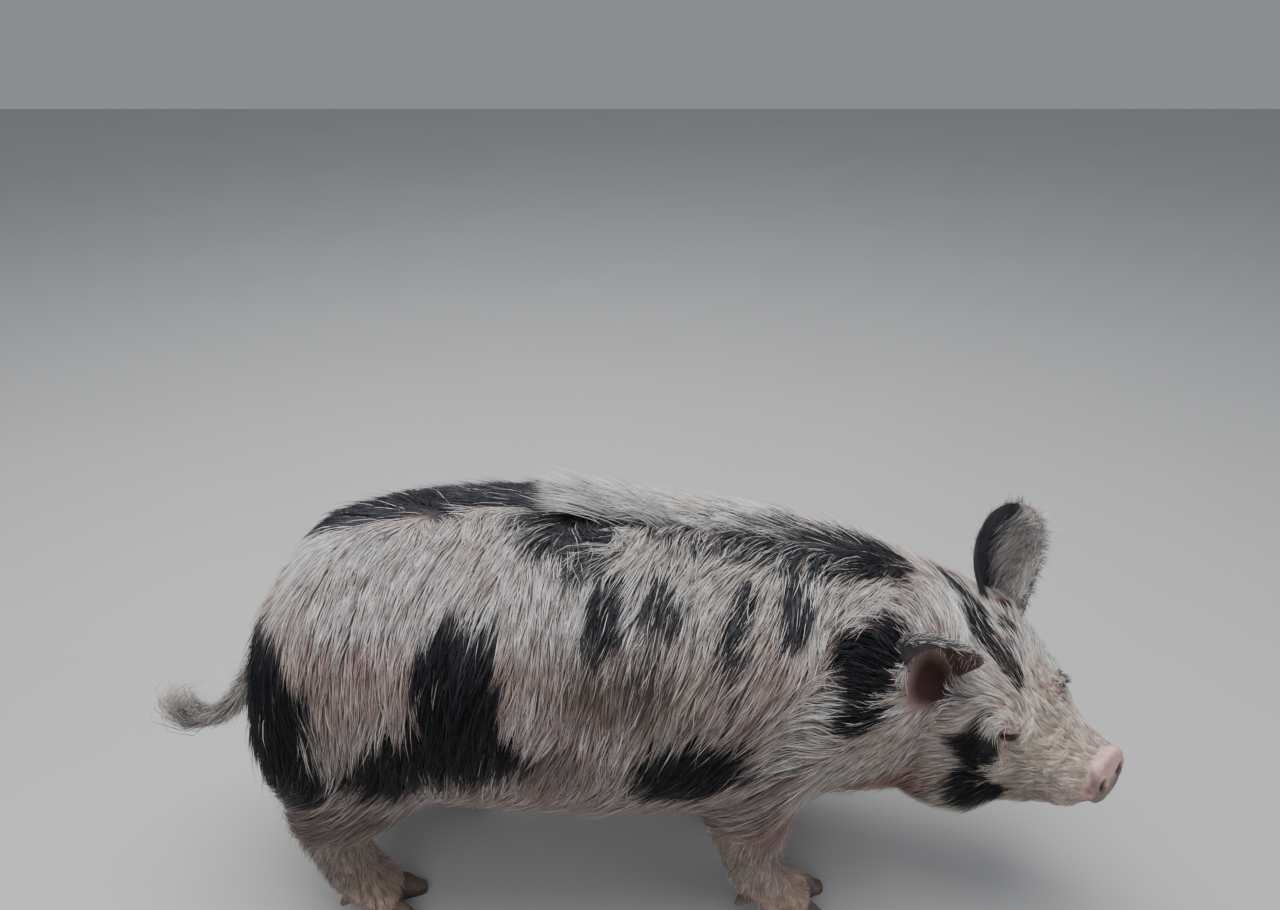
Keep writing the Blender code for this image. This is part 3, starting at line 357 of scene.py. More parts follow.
def front_leg(name):
    side, foot = SIDES[name], FRONT_FOOT_X[name]
    y = side * FOOT_SIDE
    sections = [
        (0.118, side * 0.096, 0.300, 0, -90, 0.052, 0.086, 0.080),
        (0.114, side * 0.108, 0.240, 0, -92, 0.054, 0.074, 0.068),
        (0.5 * (0.112 + foot) - 0.006, side * 0.109, 0.180, 0, -92, 0.044, 0.051, 0.049),
        (0.4 * 0.112 + 0.6 * foot, y, 0.135, 0, -88, 0.038, 0.040, 0.041),
        (foot - 0.004, y, 0.095, 0, -84, 0.032, 0.033, 0.034),
        (foot + 0.008, y, 0.064, 0, -60, 0.033, 0.032, 0.034),
        (foot + 0.034, y, 0.040, 0, -34, 0.036, 0.027, 0.027),
        (foot + 0.064, y, 0.026, 0, -14, 0.032, 0.017, 0.018),
    ]
    return closed_tube(rings_of(sections, 22, 18, (0.03, 0.006)) - MIDDLE)


def hind_leg(name):
    side, foot = SIDES[name], HIND_FOOT_X[name]
    y = side * FOOT_SIDE
    hock = foot - 0.018
    sections = [
        (-0.325, side * 0.086, 0.310, 0, -84, 0.066, 0.100, 0.092),
        (-0.334, side * 0.098, 0.245, 0, -90, 0.068, 0.102, 0.094),
        (0.5 * (hock - 0.338), side * 0.108, 0.190, 0, -98, 0.052, 0.068, 0.062),
        (hock - 0.004, y, 0.145, 0, -96, 0.037, 0.041, 0.043),
        (hock + 0.004, y, 0.108, 0, -78, 0.031, 0.033, 0.035),
        (hock + 0.016, y, 0.070, 0, -64, 0.032, 0.032, 0.034),
        (foot + 0.020, y, 0.042, 0, -36, 0.036, 0.027, 0.027),
        (foot + 0.044, y, 0.027, 0, -14, 0.032, 0.017, 0.018),
    ]
    return closed_tube(rings_of(sections, 24, 18, (0.03, 0.006)) - MIDDLE)


TAIL_PATH = np.array([
    (-0.420, 0.000, 0.326), (-0.456, 0.000, 0.310), (-0.484, -0.003, 0.284),
    (-0.506, -0.007, 0.254), (-0.530, -0.010, 0.230), (-0.556, -0.012, 0.218),
]) - MIDDLE
TAIL_RADII = np.array([0.0160, 0.0150, 0.0125, 0.0100, 0.0080, 0.0050])


def along_tail(at):
    """The tail's middle line and its radius, where at runs from 0 at the root to 5 at the tip."""
    knots = np.arange(len(TAIL_PATH))
    return eased(knots, TAIL_PATH, at), eased(knots, TAIL_RADII[:, None], at)


def tail():
    """The tail, a little thicker than it should be, because the smoothing wears it down."""
    path, radii = along_tail(np.linspace(0, 5, 24))
    return closed_tube(tube_rings(path, 1.12 * radii[:, 0], 12, (0, 1, 0)))


def teats():
    """Two rows of small blunt cones that lean out under the belly."""
    made = []
    for x, side in itertools.product(np.linspace(-0.205, 0.012, 6), SIDES.values()):
        lean = turned(0, 0, -side * 18)
        top = np.array([x, side * 0.060, BELLY_HEIGHT + 0.022]) - MIDDLE
        down = np.array([0.0, 0.018, 0.026, 0.037])
        path = top - lean[:, 2] * down[:, None]
        made.append(closed_tube(tube_rings(path, 0.0088 * np.array([1.3, 1.05, 0.85, 0.66]), 12, (1, 0, 0))))
    return made


# Sides of the cubes that the masses and then the finer forms are fused on
MASS_CUBE, SKIN_CUBE = 0.0060, 0.0052
legs = [make(name) for make in (front_leg, hind_leg) for name in SIDES]
masses = [trunk(), crest_fat(), skull(), jaw(), *legs]
for side in SIDES.values():
    ham = np.array([-0.358, side * 0.078, 0.268]) - MIDDLE
    masses.append(ball(ham, (0.096, 0.088, 0.124)))
for side in SIDES.values():
    shoulder = np.array([0.150, side * 0.086, 0.305]) - MIDDLE
    masses.append(ball(shoulder, (0.092, 0.082, 0.120), turned(0, -12)))
masses += [mass for side in SIDES.values() for mass in face_masses(side)]
whole = arrays_of(fused(masses, MASS_CUBE, 22))
fine = [(whole[0], whole[2]), skull(), *snout_masses(), *legs, tail(), *teats()]
fine += [mass for side in SIDES.values() for mass in fine_face_masses(side)]
hide_mesh = fused(fine, SKIN_CUBE, 7)


def eye_place(side):
    """The middle of the eyeball and its frame: out, across and up."""
    return from_head((EYE_AT[0], side * EYE_AT[1], EYE_AT[2])), HEAD_TURN @ turned(-side * EYE_YAW, EYE_PITCH)


def refined(mesh, wanted, cuts):
    """Splits each edge of the wanted faces, where wanted tells for each point if it is inside."""
    points, _, _ = arrays_of(mesh)
    inside = wanted(points)
    work = bmesh.new()
    work.from_mesh(mesh)
    work.verts.ensure_lookup_table()
    edges = [edge for edge in work.edges if inside[edge.verts[0].index] and inside[edge.verts[1].index]]
    bmesh.ops.subdivide_edges(work, edges=edges, cuts=cuts, use_grid_fill=True)
    bmesh.ops.triangulate(work, faces=work.faces)
    work.to_mesh(mesh)
    work.free()


def relaxed(points, faces, share, rounds):
    """Moves each point towards the middle of its neighbours, by its own share, so many times."""
    ends = np.concatenate([faces[:, [0, 1]], faces[:, [1, 2]], faces[:, [2, 0]]])
    ends = np.concatenate([ends, ends[:, ::-1]])
    count = np.bincount(ends[:, 0], minlength=len(points))[:, None]
    for _ in range(rounds):
        total = np.stack([np.bincount(ends[:, 0], points[ends[:, 1], i], len(points)) for i in range(3)], 1)
        points = points + share[:, None] * (total / count - points)
    return points


def from_lids(place):
    """How far each point is from the nearer eye's opening."""
    openings = [centre + turn[:, 0] * 0.012 for centre, turn in map(eye_place, SIDES.values())]
    return np.minimum(*(np.linalg.norm(place - opening, axis=1) for opening in openings))


# The face ahead of this line, and the lids within this distance, get smaller triangles
FINE_FACE_FROM, FINE_LIDS_WITHIN = 0.070, 0.014
refined(hide_mesh, lambda points: in_head(points)[:, 0] > FINE_FACE_FROM, 2)
refined(hide_mesh, lambda points: from_lids(points) < FINE_LIDS_WITHIN, 2)
points, normals, faces = arrays_of(hide_mesh)
points = relaxed(points, faces, 0.5 * smooth_step(FINE_FACE_FROM - 0.006, 0.080, in_head(points)[:, 0]), 8)
hide_mesh.vertices.foreach_set("co", points.ravel())
hide_mesh.update()
points, normals, faces = arrays_of(hide_mesh)


def mouth_line():
    """The line of the mouth on the skin, from one corner round the front of the lips to the other."""
    level, corner, turn_at = -0.047, 0.084, 0.140
    surface = BVHTree.FromPolygons(points.tolist(), faces.tolist())
    rays = []
    for along in np.linspace(corner, turn_at, 7):
        lift = 0.012 * ((turn_at - along) / (turn_at - corner)) ** 2
        rays.append(((along, 0, level + lift), (0, 1, 0)))
    rays += [((turn_at, 0, level), (math.cos(a), math.sin(a), 0)) for a in np.radians(np.linspace(74, 0, 8))]
    rays += [(start, (way[0], -way[1], 0)) for start, way in rays[-2::-1]]
    hits = [surface.ray_cast(Vector(from_head(a)), Vector(HEAD_TURN @ np.array(b))) for a, b in rays]
    path = np.array([hit[0] for hit in hits])
    for _ in range(4):
        path[1:-1] = path[1:-1] / 2 + (path[:-2] + path[2:]) / 4
    return eased(np.arange(len(path)), path, np.linspace(0, len(path) - 1, 240))


mouth = mouth_line()


def from_mouth(place):
    """How far each point is from the line of the mouth; far off it, 1."""
    found = np.ones(len(place))
    near = np.where(np.linalg.norm(place - from_head((0.12, 0, -0.05)), axis=1) < 0.09)[0]
    found[near] = np.sqrt(((place[near, None] - mouth[None]) ** 2).sum(axis=2).min(axis=1))
    return found


NOSTRIL_APART, NOSTRIL_ABOVE = 0.0155, 0.002
LID_HALF_WIDTH, LID_OPENING = 0.0098, 0.0034


def from_nostril(disc, side, half_width, half_height):
    """How far out of a nostril each point of the snout's frame is: 1 on an ellipse of that size."""
    across = (disc[:, 1] - side * NOSTRIL_APART) / half_width
    return np.sqrt(across**2 + ((disc[:, 2] - NOSTRIL_ABOVE) / half_height) ** 2)


def sculpted(place, out):
    """Lips and mouth line, nostrils, eye openings, and the folds of face, throat and feet, as moves along
    each point's normal and, in the eyes, towards the eyeball."""
    ahead, aside, above = in_head(place).T
    gap = from_mouth(place)
    move = -0.0046 * bell(gap, 0.0013) + 0.0016 * bell(gap - 0.0052, 0.003)
    disc = (place - from_head(SNOUT_AT)) @ SNOUT_TURN
    face_on = smooth_step(-0.008, -0.002, disc[:, 0])
    rim = np.sqrt((disc[:, 1] / 0.0325) ** 2 + (disc[:, 2] / 0.034) ** 2)
    move += face_on * (0.0014 * bell(rim - 0.90, 0.12) - 0.0018 * bell(rim, 0.5))
    for side in SIDES.values():
        hole = from_nostril(disc, side, 0.0064, 0.0084)
        move += face_on * (-0.0110 * (1 - smooth_step(0.45, 1.05, hole)) + 0.0015 * bell(hole - 1.35, 0.28))
    on_face = smooth_step(0.03, 0.06, ahead) * (1 - smooth_step(0.165, 0.180, ahead))
    creases = clouds(np.c_[ahead, aside * 0.25, above * 0.25], 0.0075, 3)
    move -= 0.0016 * on_face * smooth_step(0.10, 0.14, ahead) * bell(creases, 0.16)
    folds = clouds(np.c_[ahead, aside * 0.5, above * 0.5], 0.016, 5)
    move -= 0.0016 * on_face * bell(folds, 0.13)
    move += 0.0008 * clouds(place, 0.030, 8) + 0.0004 * clouds(place, 0.011, 9)
    throat = smooth_step(-0.09, -0.03, ahead) * (1 - smooth_step(0.0, 0.05, ahead))
    throat = throat * smooth_step(0.03, 0.10, -above)
    move += 0.0022 * throat * np.sin(ahead * 2 * np.pi / 0.026)
    low = 1 - smooth_step(0.10, 0.14, place[:, 2])
    move -= 0.0013 * low * bell(clouds(place * [0.6, 0.6, 1.6], 0.016, 11), 0.15)
    moved = place + out * move[:, None]
    for side in SIDES.values():
        centre, turn = eye_place(side)
        local = (moved - centre) @ turn
        across = local[:, 1] / LID_HALF_WIDTH
        lid = LID_OPENING * np.clip(1 - across**2, 0, 1) ** 0.75
        upper = local[:, 2] - 0.0004
        inside = (local[:, 0] > 0) * smooth_step(0.0004, -0.0004, np.abs(upper) - lid) * (np.abs(across) < 1)
        in_front = local[:, 0] > 0
        edge = bell(np.abs(upper) - lid - 0.0016, 0.0011) * (np.abs(across) < 1.15) * in_front
        crease = bell(upper - lid - 0.0052, 0.0010) * (np.abs(across) < 1.3) * in_front
        bags = bell(upper + lid + 0.0062, 0.0012) * (np.abs(across) < 1.3) * in_front
        reach = np.linalg.norm(local, axis=1)
        sunk = centre + (moved - centre) * ((EYE_RADIUS - 0.0022) / np.maximum(reach, 1e-6))[:, None]
        moved = moved + inside[:, None] * (sunk - moved)
        raised = (reach < 0.024) * (0.0012 * edge - 0.0016 * crease - 0.0012 * bags) * (1 - inside)
        moved = moved + raised[:, None] * out
    return moved


points = sculpted(points, normals)


def linear(code):
    """A colour written as an sRGB hex code, as linear red, green and blue."""
    level = np.array([int(code[i:i + 2], 16) for i in (1, 3, 5)]) / 255
    return np.where(level <= 0.04045, level / 12.92, ((level + 0.055) / 1.055) ** 2.4)


# Dark patches of the coat: centre, radii and tilt (nose-up degrees) in the animal's frame, then how dark.
# The right side's are where the sow has them; the left side's follow the breed.
BODY_SPOTS = [
    ((-0.164, -0.165, 0.410), (0.054, 0.070, 0.054), 0, 1.0),
    ((-0.166, -0.180, 0.350), (0.048, 0.070, 0.044), 0, 1.0),
    ((-0.186, -0.178, 0.312), (0.110, 0.070, 0.042), 6, 1.0),
    ((-0.262, -0.160, 0.288), (0.044, 0.060, 0.042), 0, 1.0),
    ((-0.402, -0.105, 0.328), (0.088, 0.100, 0.100), 0, 1.0),
    ((-0.378, -0.140, 0.270), (0.062, 0.070, 0.048), 0, 1.0),
    ((-0.428, -0.015, 0.405), (0.034, 0.060, 0.066), 0, 0.60),
    ((-0.225, 0.068, 0.490), (0.190, 0.066, 0.050), 3, 0.97),
    ((-0.062, -0.012, 0.515), (0.066, 0.072, 0.048), 0, 0.92),
    ((0.110, -0.005, 0.500), (0.090, 0.052, 0.036), 0, 0.52),
    ((-0.034, -0.066, 0.490), (0.030, 0.044, 0.036), -30, 0.72),
    ((-0.010, -0.122, 0.463), (0.030, 0.054, 0.038), -30, 0.94),
    ((0.048, -0.110, 0.466), (0.024, 0.050, 0.028), -30, 0.86),
    ((0.082, -0.180, 0.292), (0.070, 0.070, 0.042), 5, 1.0),
    ((0.130, -0.126, 0.446), (0.016, 0.050, 0.046), -28, 0.85),
    ((0.122, -0.176, 0.386), (0.011, 0.040, 0.016), -40, 0.60),
    ((0.190, -0.098, 0.452), (0.021, 0.052, 0.038), -24, 0.90),
    ((0.205, -0.012, 0.476), (0.085, 0.068, 0.036), -8, 0.76),
    ((0.294, 0.008, 0.448), (0.056, 0.054, 0.042), -20, 0.97),
    ((0.278, -0.121, 0.402), (0.038, 0.060, 0.044), 0, 1.0),
    ((0.262, -0.146, 0.336), (0.028, 0.050, 0.030), 0, 0.85),
    ((0.040, -0.172, 0.408), (0.022, 0.040, 0.020), -35, 0.50),
    ((-0.330, 0.150, 0.400), (0.085, 0.080, 0.060), -20, 1.0),
    ((-0.120, 0.190, 0.330), (0.080, 0.070, 0.060), 15, 1.0),
    ((-0.360, 0.140, 0.240), (0.060, 0.070, 0.050), 0, 1.0),
    ((0.060, 0.165, 0.405), (0.052, 0.070, 0.046), -15, 0.95),
    ((0.160, 0.175, 0.270), (0.062, 0.060, 0.052), 10, 1.0),
    ((0.290, 0.130, 0.380), (0.045, 0.060, 0.048), 0, 0.9),
    ((-0.020, 0.150, 0.200), (0.050, 0.060, 0.040), 0, 0.9),
]
# The same in the head's frame: ahead, left, up
HEAD_SPOTS = [
    ((0.066, -0.080, 0.016), (0.024, 0.040, 0.036), 0, 1.0),
    ((0.078, -0.078, -0.024), (0.020, 0.040, 0.022), 0, 0.95),
    ((0.088, -0.068, -0.054), (0.036, 0.042, 0.024), 0, 1.0),
    ((0.112, -0.048, 0.024), (0.008, 0.012, 0.006), 0, 0.7),
    ((-0.058, 0.053, 0.088), (0.024, 0.013, 0.040), 0, 0.95),
    ((-0.032, 0.036, 0.093), (0.025, 0.015, 0.040), 0, 0.95),
    ((-0.006, 0.022, 0.095), (0.019, 0.012, 0.030), 0, 0.90),
    ((0.026, 0.016, 0.085), (0.020, 0.013, 0.030), 0, 0.88),
    ((0.044, 0.004, 0.080), (0.017, 0.012, 0.030), 0, 0.85),
    ((0.066, -0.005, 0.070), (0.013, 0.010, 0.020), 0, 0.75),
    ((0.018, 0.050, 0.086), (0.024, 0.011, 0.030), 0, 0.75),
    ((0.020, 0.085, 0.010), (0.040, 0.040, 0.045), 0, 1.0),
    ((0.100, 0.050, -0.030), (0.026, 0.030, 0.020), 0, 0.8),
]
# Reddish mud: centre, radii, strength
MUD_SPOTS = [
    ((0.000, -0.172, 0.405), (0.075, 0.060, 0.050), 1.0),
    ((0.060, -0.180, 0.370), (0.050, 0.050, 0.040), 1.0),
    ((-0.060, -0.185, 0.300), (0.080, 0.050, 0.036), 0.9),
    ((0.165, -0.165, 0.340), (0.090, 0.060, 0.070), 0.45),
]


def spot_share(place, spots, ragged):
    """How dark each point is, from 0 to 1: inside an ellipsoid whose edge wanders with noise."""
    wander = np.stack([clouds(place, 0.034, seed) * 0.016 + clouds(place, 0.012, seed + 3) * 0.006
                       for seed in (21, 22, 23)], axis=1)
    dark = np.zeros(len(place))
    for centre, radii, tilt, strength in spots:
        out_of = np.linalg.norm((place + wander - centre) @ turned(0, tilt) / radii, axis=1)
        dark = np.maximum(dark, strength * smooth_step(1.0 + ragged, 1.0 - ragged, out_of))
    return dark


def on_head(place, start, end):
    """0 behind the first distance ahead of the ears, 1 past the second, and 0 on the feet below."""
    return smooth_step(start, end, in_head(place)[:, 0]) * smooth_step(0.12, 0.15, place[:, 2])


def markings(place, ragged=0.10):
    """The share of dark coat, of reddish mud together with a darkening low on the body that is part dirt
    and part painted shade, of pink, of bright white, a painted highlight along the top of the back and on
    the poll, and of rawness at each point.
    """
    local = in_head(place)
    head = on_head(place, -0.060, -0.030)
    dark = np.maximum(spot_share(place, BODY_SPOTS, ragged) * (1 - head * (local[:, 1] > -0.06)),
                      spot_share(local, HEAD_SPOTS, ragged))
    mud_and_low_shade = np.zeros(len(place))
    for centre, radii, strength in MUD_SPOTS:
        out_of = np.linalg.norm((place - centre) / radii, axis=1)
        mud_and_low_shade = np.maximum(mud_and_low_shade, strength * smooth_step(1.2, 0.3, out_of))
    mud_and_low_shade *= 0.60 + 0.40 * clouds(place, 0.030, 31)
    # Darker low on the body, and more so low on the hind end: part dirt, part painted shade where the
    # overhead light reaches less. It is merged into the mud share.
    low_dirt_and_shade = 0.60 * smooth_step(0.31, 0.20, place[:, 2]) * (1 - 0.55 * head)
    low_dirt_and_shade = low_dirt_and_shade * (0.6 + 0.4 * smooth_step(0.12, 0.20, place[:, 2]))
    low_dirt_and_shade *= 1 + 0.6 * (place[:, 0] < -0.20) * smooth_step(0.24, 0.18, place[:, 2])
    mud_and_low_shade = np.clip(np.maximum(mud_and_low_shade, low_dirt_and_shade * (0.85 + 0.25 * clouds(place, 0.035, 33))), 0, 1)
    pink = smooth_step(0.48, 0.40, place[:, 2]) * (1 - head) * (0.8 + 0.2 * clouds(place, 0.06, 34))
    # Whiter along the top of the back and on the poll: a painted highlight where the overhead light falls.
    painted_highlight = smooth_step(0.42, 0.46, place[:, 2]) * (1 - head)
    painted_highlight *= np.interp(place[:, 0], [-0.10, 0.06], [0.95, 0.52]) + 0.35 * clouds(place, 0.05, 35)
    poll_highlight = 0.8 * head * smooth_step(0.045, 0.075, local[:, 2]) * smooth_step(0.11, 0.06, local[:, 0])
    painted_highlight = np.maximum(painted_highlight, poll_highlight)
    raw = smooth_step(0.055, 0.020, local[:, 0]) * on_head(place, -0.09, -0.03)
    raw = raw * smooth_step(-0.020, -0.075, local[:, 2])
    raw *= np.where(local[:, 1] > 0, 0.4, 1.0)
    return dark, mud_and_low_shade, np.clip(pink, 0, 1), np.clip(painted_highlight, 0, 1), raw


def mixed(first, second, share):
    """The first, blended towards the second by each point's share."""
    return first + (second - first) * np.asarray(share)[..., None]


# The mud colour also paints the darkening low on the body, part dirt and part painted shade.
SKIN_PINK, SKIN_DARK, SKIN_MUD_AND_SHADE = linear("#C6A9A0"), linear("#26242A"), linear("#665045")
SKIN_SNOUT, SKIN_RAW, SKIN_LEG = linear("#DDB2AC"), linear("#AE6E66"), linear("#B5A194")
# Deep in the coat the skin is painted dull and dark: painted shade under the hair.
# Under each ear's hood the skin is painted dark red-brown: a painted shadow.
SKIN_SHADED_IN_COAT, SKIN_FOOT, SKIN_EAR_HOOD_SHADOW = linear("#7F7471"), linear("#C4A78F"), linear("#3E201C")
# The nostril colour is painted shade in the nostril pits.
# The snout's darker colour is painted shade over the disc's lower right.
SNOUT_SHADE, NOSTRIL_SHADE, LID_RIM, MOUTH_EDGE = map(linear, ("#71625D", "#33201F", "#4E3732", "#5A3A34"))
# The middle of the hollow under each ear's hood, in the head's frame: ahead, out, up
HOLLOW_AT = np.array([0.006, 0.078, 0.080])


def ear_hollow(place):
    """1 on the hide under each ear's hood, where the skin is painted dark as the hood's shadow, fading to 0
    about 50 mm off, or half that on the upright ear.
    """
    local = in_head(place)
    gap = np.linalg.norm(local * [1, 0, 1] + np.abs(local) * [0, 1, 0] - HOLLOW_AT, axis=1)
    gap = gap * np.where(local[:, 1] > 0, 1.9, 1.0) * (1 + 0.16 * clouds(place, 0.018, 47))
    return smooth_step(0.050, 0.018, gap)


def skin_colours(place):
    """Pink skin, dark under the spots, duller and darker deep in the coat as painted shade under the hair,
    redder on the cheek, dark red-brown in the ears' hollows as a painted shadow under each hood, paler on the
    snout with painted shade over the disc's lower right and in the nostrils, and darker low down, part dirt
    and part painted shade."""
    dark, mud_and_low_shade, _, _, raw = markings(place, 0.16)
    disc = (place - from_head(SNOUT_AT)) @ SNOUT_TURN
    high = place[:, 2]
    # Off the head the skin is painted dull and dark: painted shade under the coat.
    colours = mixed(SKIN_PINK, SKIN_SHADED_IN_COAT, 0.9 * (1 - on_head(place, -0.06, 0.0)))
    colours = mixed(colours, SKIN_LEG, smooth_step(0.22, 0.14, high))
    colours = mixed(colours, SKIN_RAW, 0.75 * raw)
    # Mud, and the darkening low on the body: part dirt, part painted shade.
    colours = mixed(colours, SKIN_MUD_AND_SHADE, 0.60 * mud_and_low_shade)
    colours = mixed(colours, SKIN_DARK, 0.92 * dark)
    on_foot = smooth_step(0.075, 0.045, high) * (0.75 + 0.25 * clouds(place, 0.015, 44))
    colours = mixed(colours, SKIN_FOOT, on_foot)
    # Dark red-brown under each ear's hood: a painted shadow.
    colours = mixed(colours, SKIN_EAR_HOOD_SHADOW, ear_hollow(place))
    snout = smooth_step(-0.010, -0.004, disc[:, 0])
    colours = mixed(colours, SKIN_SNOUT, snout)
    # Darker over the lower right of the disc, mottled by noise: painted shade.
    low_right = 0.52 - disc[:, 2] / 0.045 + 0.3 * disc[:, 1] / -0.03
    snout_shade_share = smooth_step(0.2, 0.9, low_right + 0.7 * clouds(place, 0.010, 41))
    colours = mixed(colours, SNOUT_SHADE, 0.9 * snout * snout_shade_share)
    for side in SIDES.values():
        # Dark in the nostril pits: painted shade.
        hole = from_nostril(disc, side, 0.0062, 0.0082)
        colours = mixed(colours, NOSTRIL_SHADE, snout * smooth_step(1.15, 0.7, hole))
        centre, turn = eye_place(side)
        rim = (place - centre) @ turn
        around_eye = np.sqrt((rim[:, 1] / 0.016) ** 2 + (rim[:, 2] / 0.009) ** 2) + 10 * (rim[:, 0] < 0)
        colours = mixed(colours, LID_RIM, 0.85 * smooth_step(1.2, 0.5, around_eye))
    colours = mixed(colours, MOUTH_EDGE, 0.7 * bell(from_mouth(place), 0.0022))
    tone = 1 + 0.10 * clouds(place, 0.045, 42) + 0.06 * clouds(place, 0.012, 43)
    return colours * tone[:, None]


def add(tree, kind, settings=None, **links):
    """Adds a node: attributes and socket values from settings, then a link into each named input."""
    node = tree.nodes.new(kind)
    for name, value in (settings or {}).items():
        if name in node.inputs:
            node.inputs[name].default_value = value
        else:
            setattr(node, name, value)
    for name, source in links.items():
        tree.links.new(source, node.inputs[name.replace("_", " ")])
    return node


def new_material(name, **settings):
    """A Principled material with those socket values, its node tree and its shader."""
    made = bpy.data.materials.new(name)
    made.use_nodes = True
    shader = made.node_tree.nodes["Principled BSDF"]
    for socket, value in settings.items():
        shader.inputs[socket.replace("_", " ")].default_value = value
    return made, made.node_tree, shader


def noise(tree, scale, detail, **settings):
    """The level, 0 to 1, of a noise on Object coordinates, its grains about 1 / scale metres apart."""
    place = add(tree, "ShaderNodeTexCoord").outputs["Object"]
    settings = {"Scale": scale, "Detail": detail, **settings}
    return add(tree, "ShaderNodeTexNoise", settings, Vector=place).outputs["Fac"]


def ranged(tree, level, low, high, start=0.3, end=0.7):
    """A level that runs from start to end, turned into one that runs from low to high."""
    settings = {"From Min": start, "From Max": end, "To Min": low, "To Max": high}
    return add(tree, "ShaderNodeMapRange", settings, Value=level).outputs["Result"]


def tint_by_coat(tree, shader, shade):
    """The base colour: each point's own colour, times the shade."""
    own = add(tree, "ShaderNodeAttribute", {"attribute_name": "coat"})
    tinted = add(tree, "ShaderNodeVectorMath", {"operation": "MULTIPLY"})
    tree.links.new(own.outputs["Color"], tinted.inputs[0])
    tree.links.new(shade, tinted.inputs[1])
    tree.links.new(tinted.outputs["Vector"], shader.inputs["Base Color"])


# Living pig skin: matt and slightly greasy, with pores about 1.5 mm apart and finer grain between, and
# light that goes a few millimetres in.
skin_look, tree, shader = new_material("pig_skin", IOR=1.4, Subsurface_Weight=0.12, Subsurface_Scale=0.004,
                                       Subsurface_Radius=(1.0, 0.35, 0.2))
mottle = noise(tree, 160.0, 4.0, Roughness=0.6)
tint_by_coat(tree, shader, ranged(tree, mottle, 0.78, 1.16))
tree.links.new(ranged(tree, mottle, 0.46, 0.72), shader.inputs["Roughness"])
place = add(tree, "ShaderNodeTexCoord").outputs["Object"]
pores = add(tree, "ShaderNodeTexVoronoi", {"Scale": 650.0}, Vector=place)
deep = add(tree, "ShaderNodeBump", {"Strength": 0.5, "Distance": 0.0006}, Height=pores.outputs["Distance"])
rough = add(tree, "ShaderNodeBump", {"Strength": 0.4, "Distance": 0.0004}, Height=noise(tree, 1400.0, 3.0),
            Normal=deep.outputs["Normal"])
tree.links.new(rough.outputs["Normal"], shader.inputs["Normal"])

hide = mesh_piece("hide", points, faces, skin_look, skin_colours(points))
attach(hide, "root")
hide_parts("head", "neck", "torso", "tail", "leg_front_right", "leg_front_left", "leg_hind_right",
            "leg_hind_left")


# Ears. A cupped leaf of thin cartilage between two skins, nearly a tube at its root. The right one tips
# forward and opens to the side, the left one stands up and out. Bare and red-brown inside, dark behind.
# The right ear's inside and the deep part of each cup are painted darker, as the shade inside them.

EAR_AT = {"right": (-0.016, 0.084, 0.077), "left": (-0.004, 0.084, 0.074)}
EAR_LENGTH = {"right": 0.106, "left": 0.138}
EAR_LEAN = {"right": (0.72, -0.10), "left": (-0.14, 0.13)}
EAR_OPENS = {"right": (0.26, -0.90, -0.60), "left": (0.70, -0.70, 0.10)}
EAR_CURL = {"right": 1.55, "left": 1.20}
EAR_WIDER = {"right": 1.0, "left": 0.86}
EAR_HALF_WIDTH, EAR_DEPTH, EAR_SUNK = 0.044, 0.027, 0.036


def ear_frame(name):
    """Root, rise and opening of an ear, and the way across it, in the head's frame."""
    side = SIDES[name]
    forward, lean = EAR_LEAN[name]
    rise = unit(np.array([forward, side * lean, 1.0]))
    opening = np.array(EAR_OPENS[name])
    opening = unit(opening - rise * (opening @ rise))
    return np.array(EAR_AT[name]) * [1, side, 1], rise, opening, np.cross(rise, opening)


def ear_sheet(name, along, across, lift=0.0):
    """Points of the ear's outer skin: along runs 0 to 1 from root to tip, across -1 to 1 from edge to edge
    of a curved band, which wraps less and flattens towards the tip; lift is how far outside it they are.
    On the upright ear the rear edge curls over."""
    root, rise, opening, sideways = ear_frame(name)
    knots = [0, 0.2, 0.5, 0.78, 0.93, 1.0]
    shares = [(0.50, 0.80, 140), (0.72, 0.92, 118), (1.0, 0.82, 94), (0.88, 0.50, 84), (0.60, 0.26, 80),
              (0.30, 0.10, 78)]
    wide_share, deep_share, wrap = eased(knots, shares, along).T
    width, depth = EAR_HALF_WIDTH * EAR_WIDER[name] * wide_share, EAR_DEPTH * deep_share
    wrap = np.radians(wrap) * across
    wrap = wrap * np.where(across < 0, 1 - (EAR_CURL[name] - 1) * across, 1)
    run = -EAR_SUNK + along * (EAR_LENGTH[name] + EAR_SUNK)
    bow = 0.012 * np.sin(np.pi * along)
    centre = root + np.outer(run, rise) - np.outer(bow, opening)
    wide, deep_in = (width + lift) * np.sin(wrap), -(depth + lift) * np.cos(wrap)
    return from_head(centre + np.outer(wide, sideways) + np.outer(deep_in, opening))


EAR_ROWS, EAR_COLUMNS = 44, 33


def ear_shape(name):
    """The outer and inner skins of the leaf, 4 mm apart at the root and 2 mm at the tip, joined round the
    edge, with shallow ribs running up the inside."""
    grid = np.meshgrid(np.linspace(0, 1, EAR_ROWS), np.linspace(-1, 1, EAR_COLUMNS), indexing="ij")
    along, across = (values.ravel() for values in grid)
    thick = 0.0046 * (1 - 0.5 * along) * (1 - 0.55 * across**4)
    rib = 0.0011 * np.cos(across * 4.2 * np.pi) * smooth_step(0.1, 0.5, along) * (1 - across**4)
    outer = ear_sheet(name, along, across).reshape(EAR_ROWS, EAR_COLUMNS, 3)
    inner = ear_sheet(name, along, across * 0.985, -(thick + rib)).reshape(EAR_ROWS, EAR_COLUMNS, 3)[:, ::-1]
    return closed_tube(np.concatenate([outer, inner], axis=1))


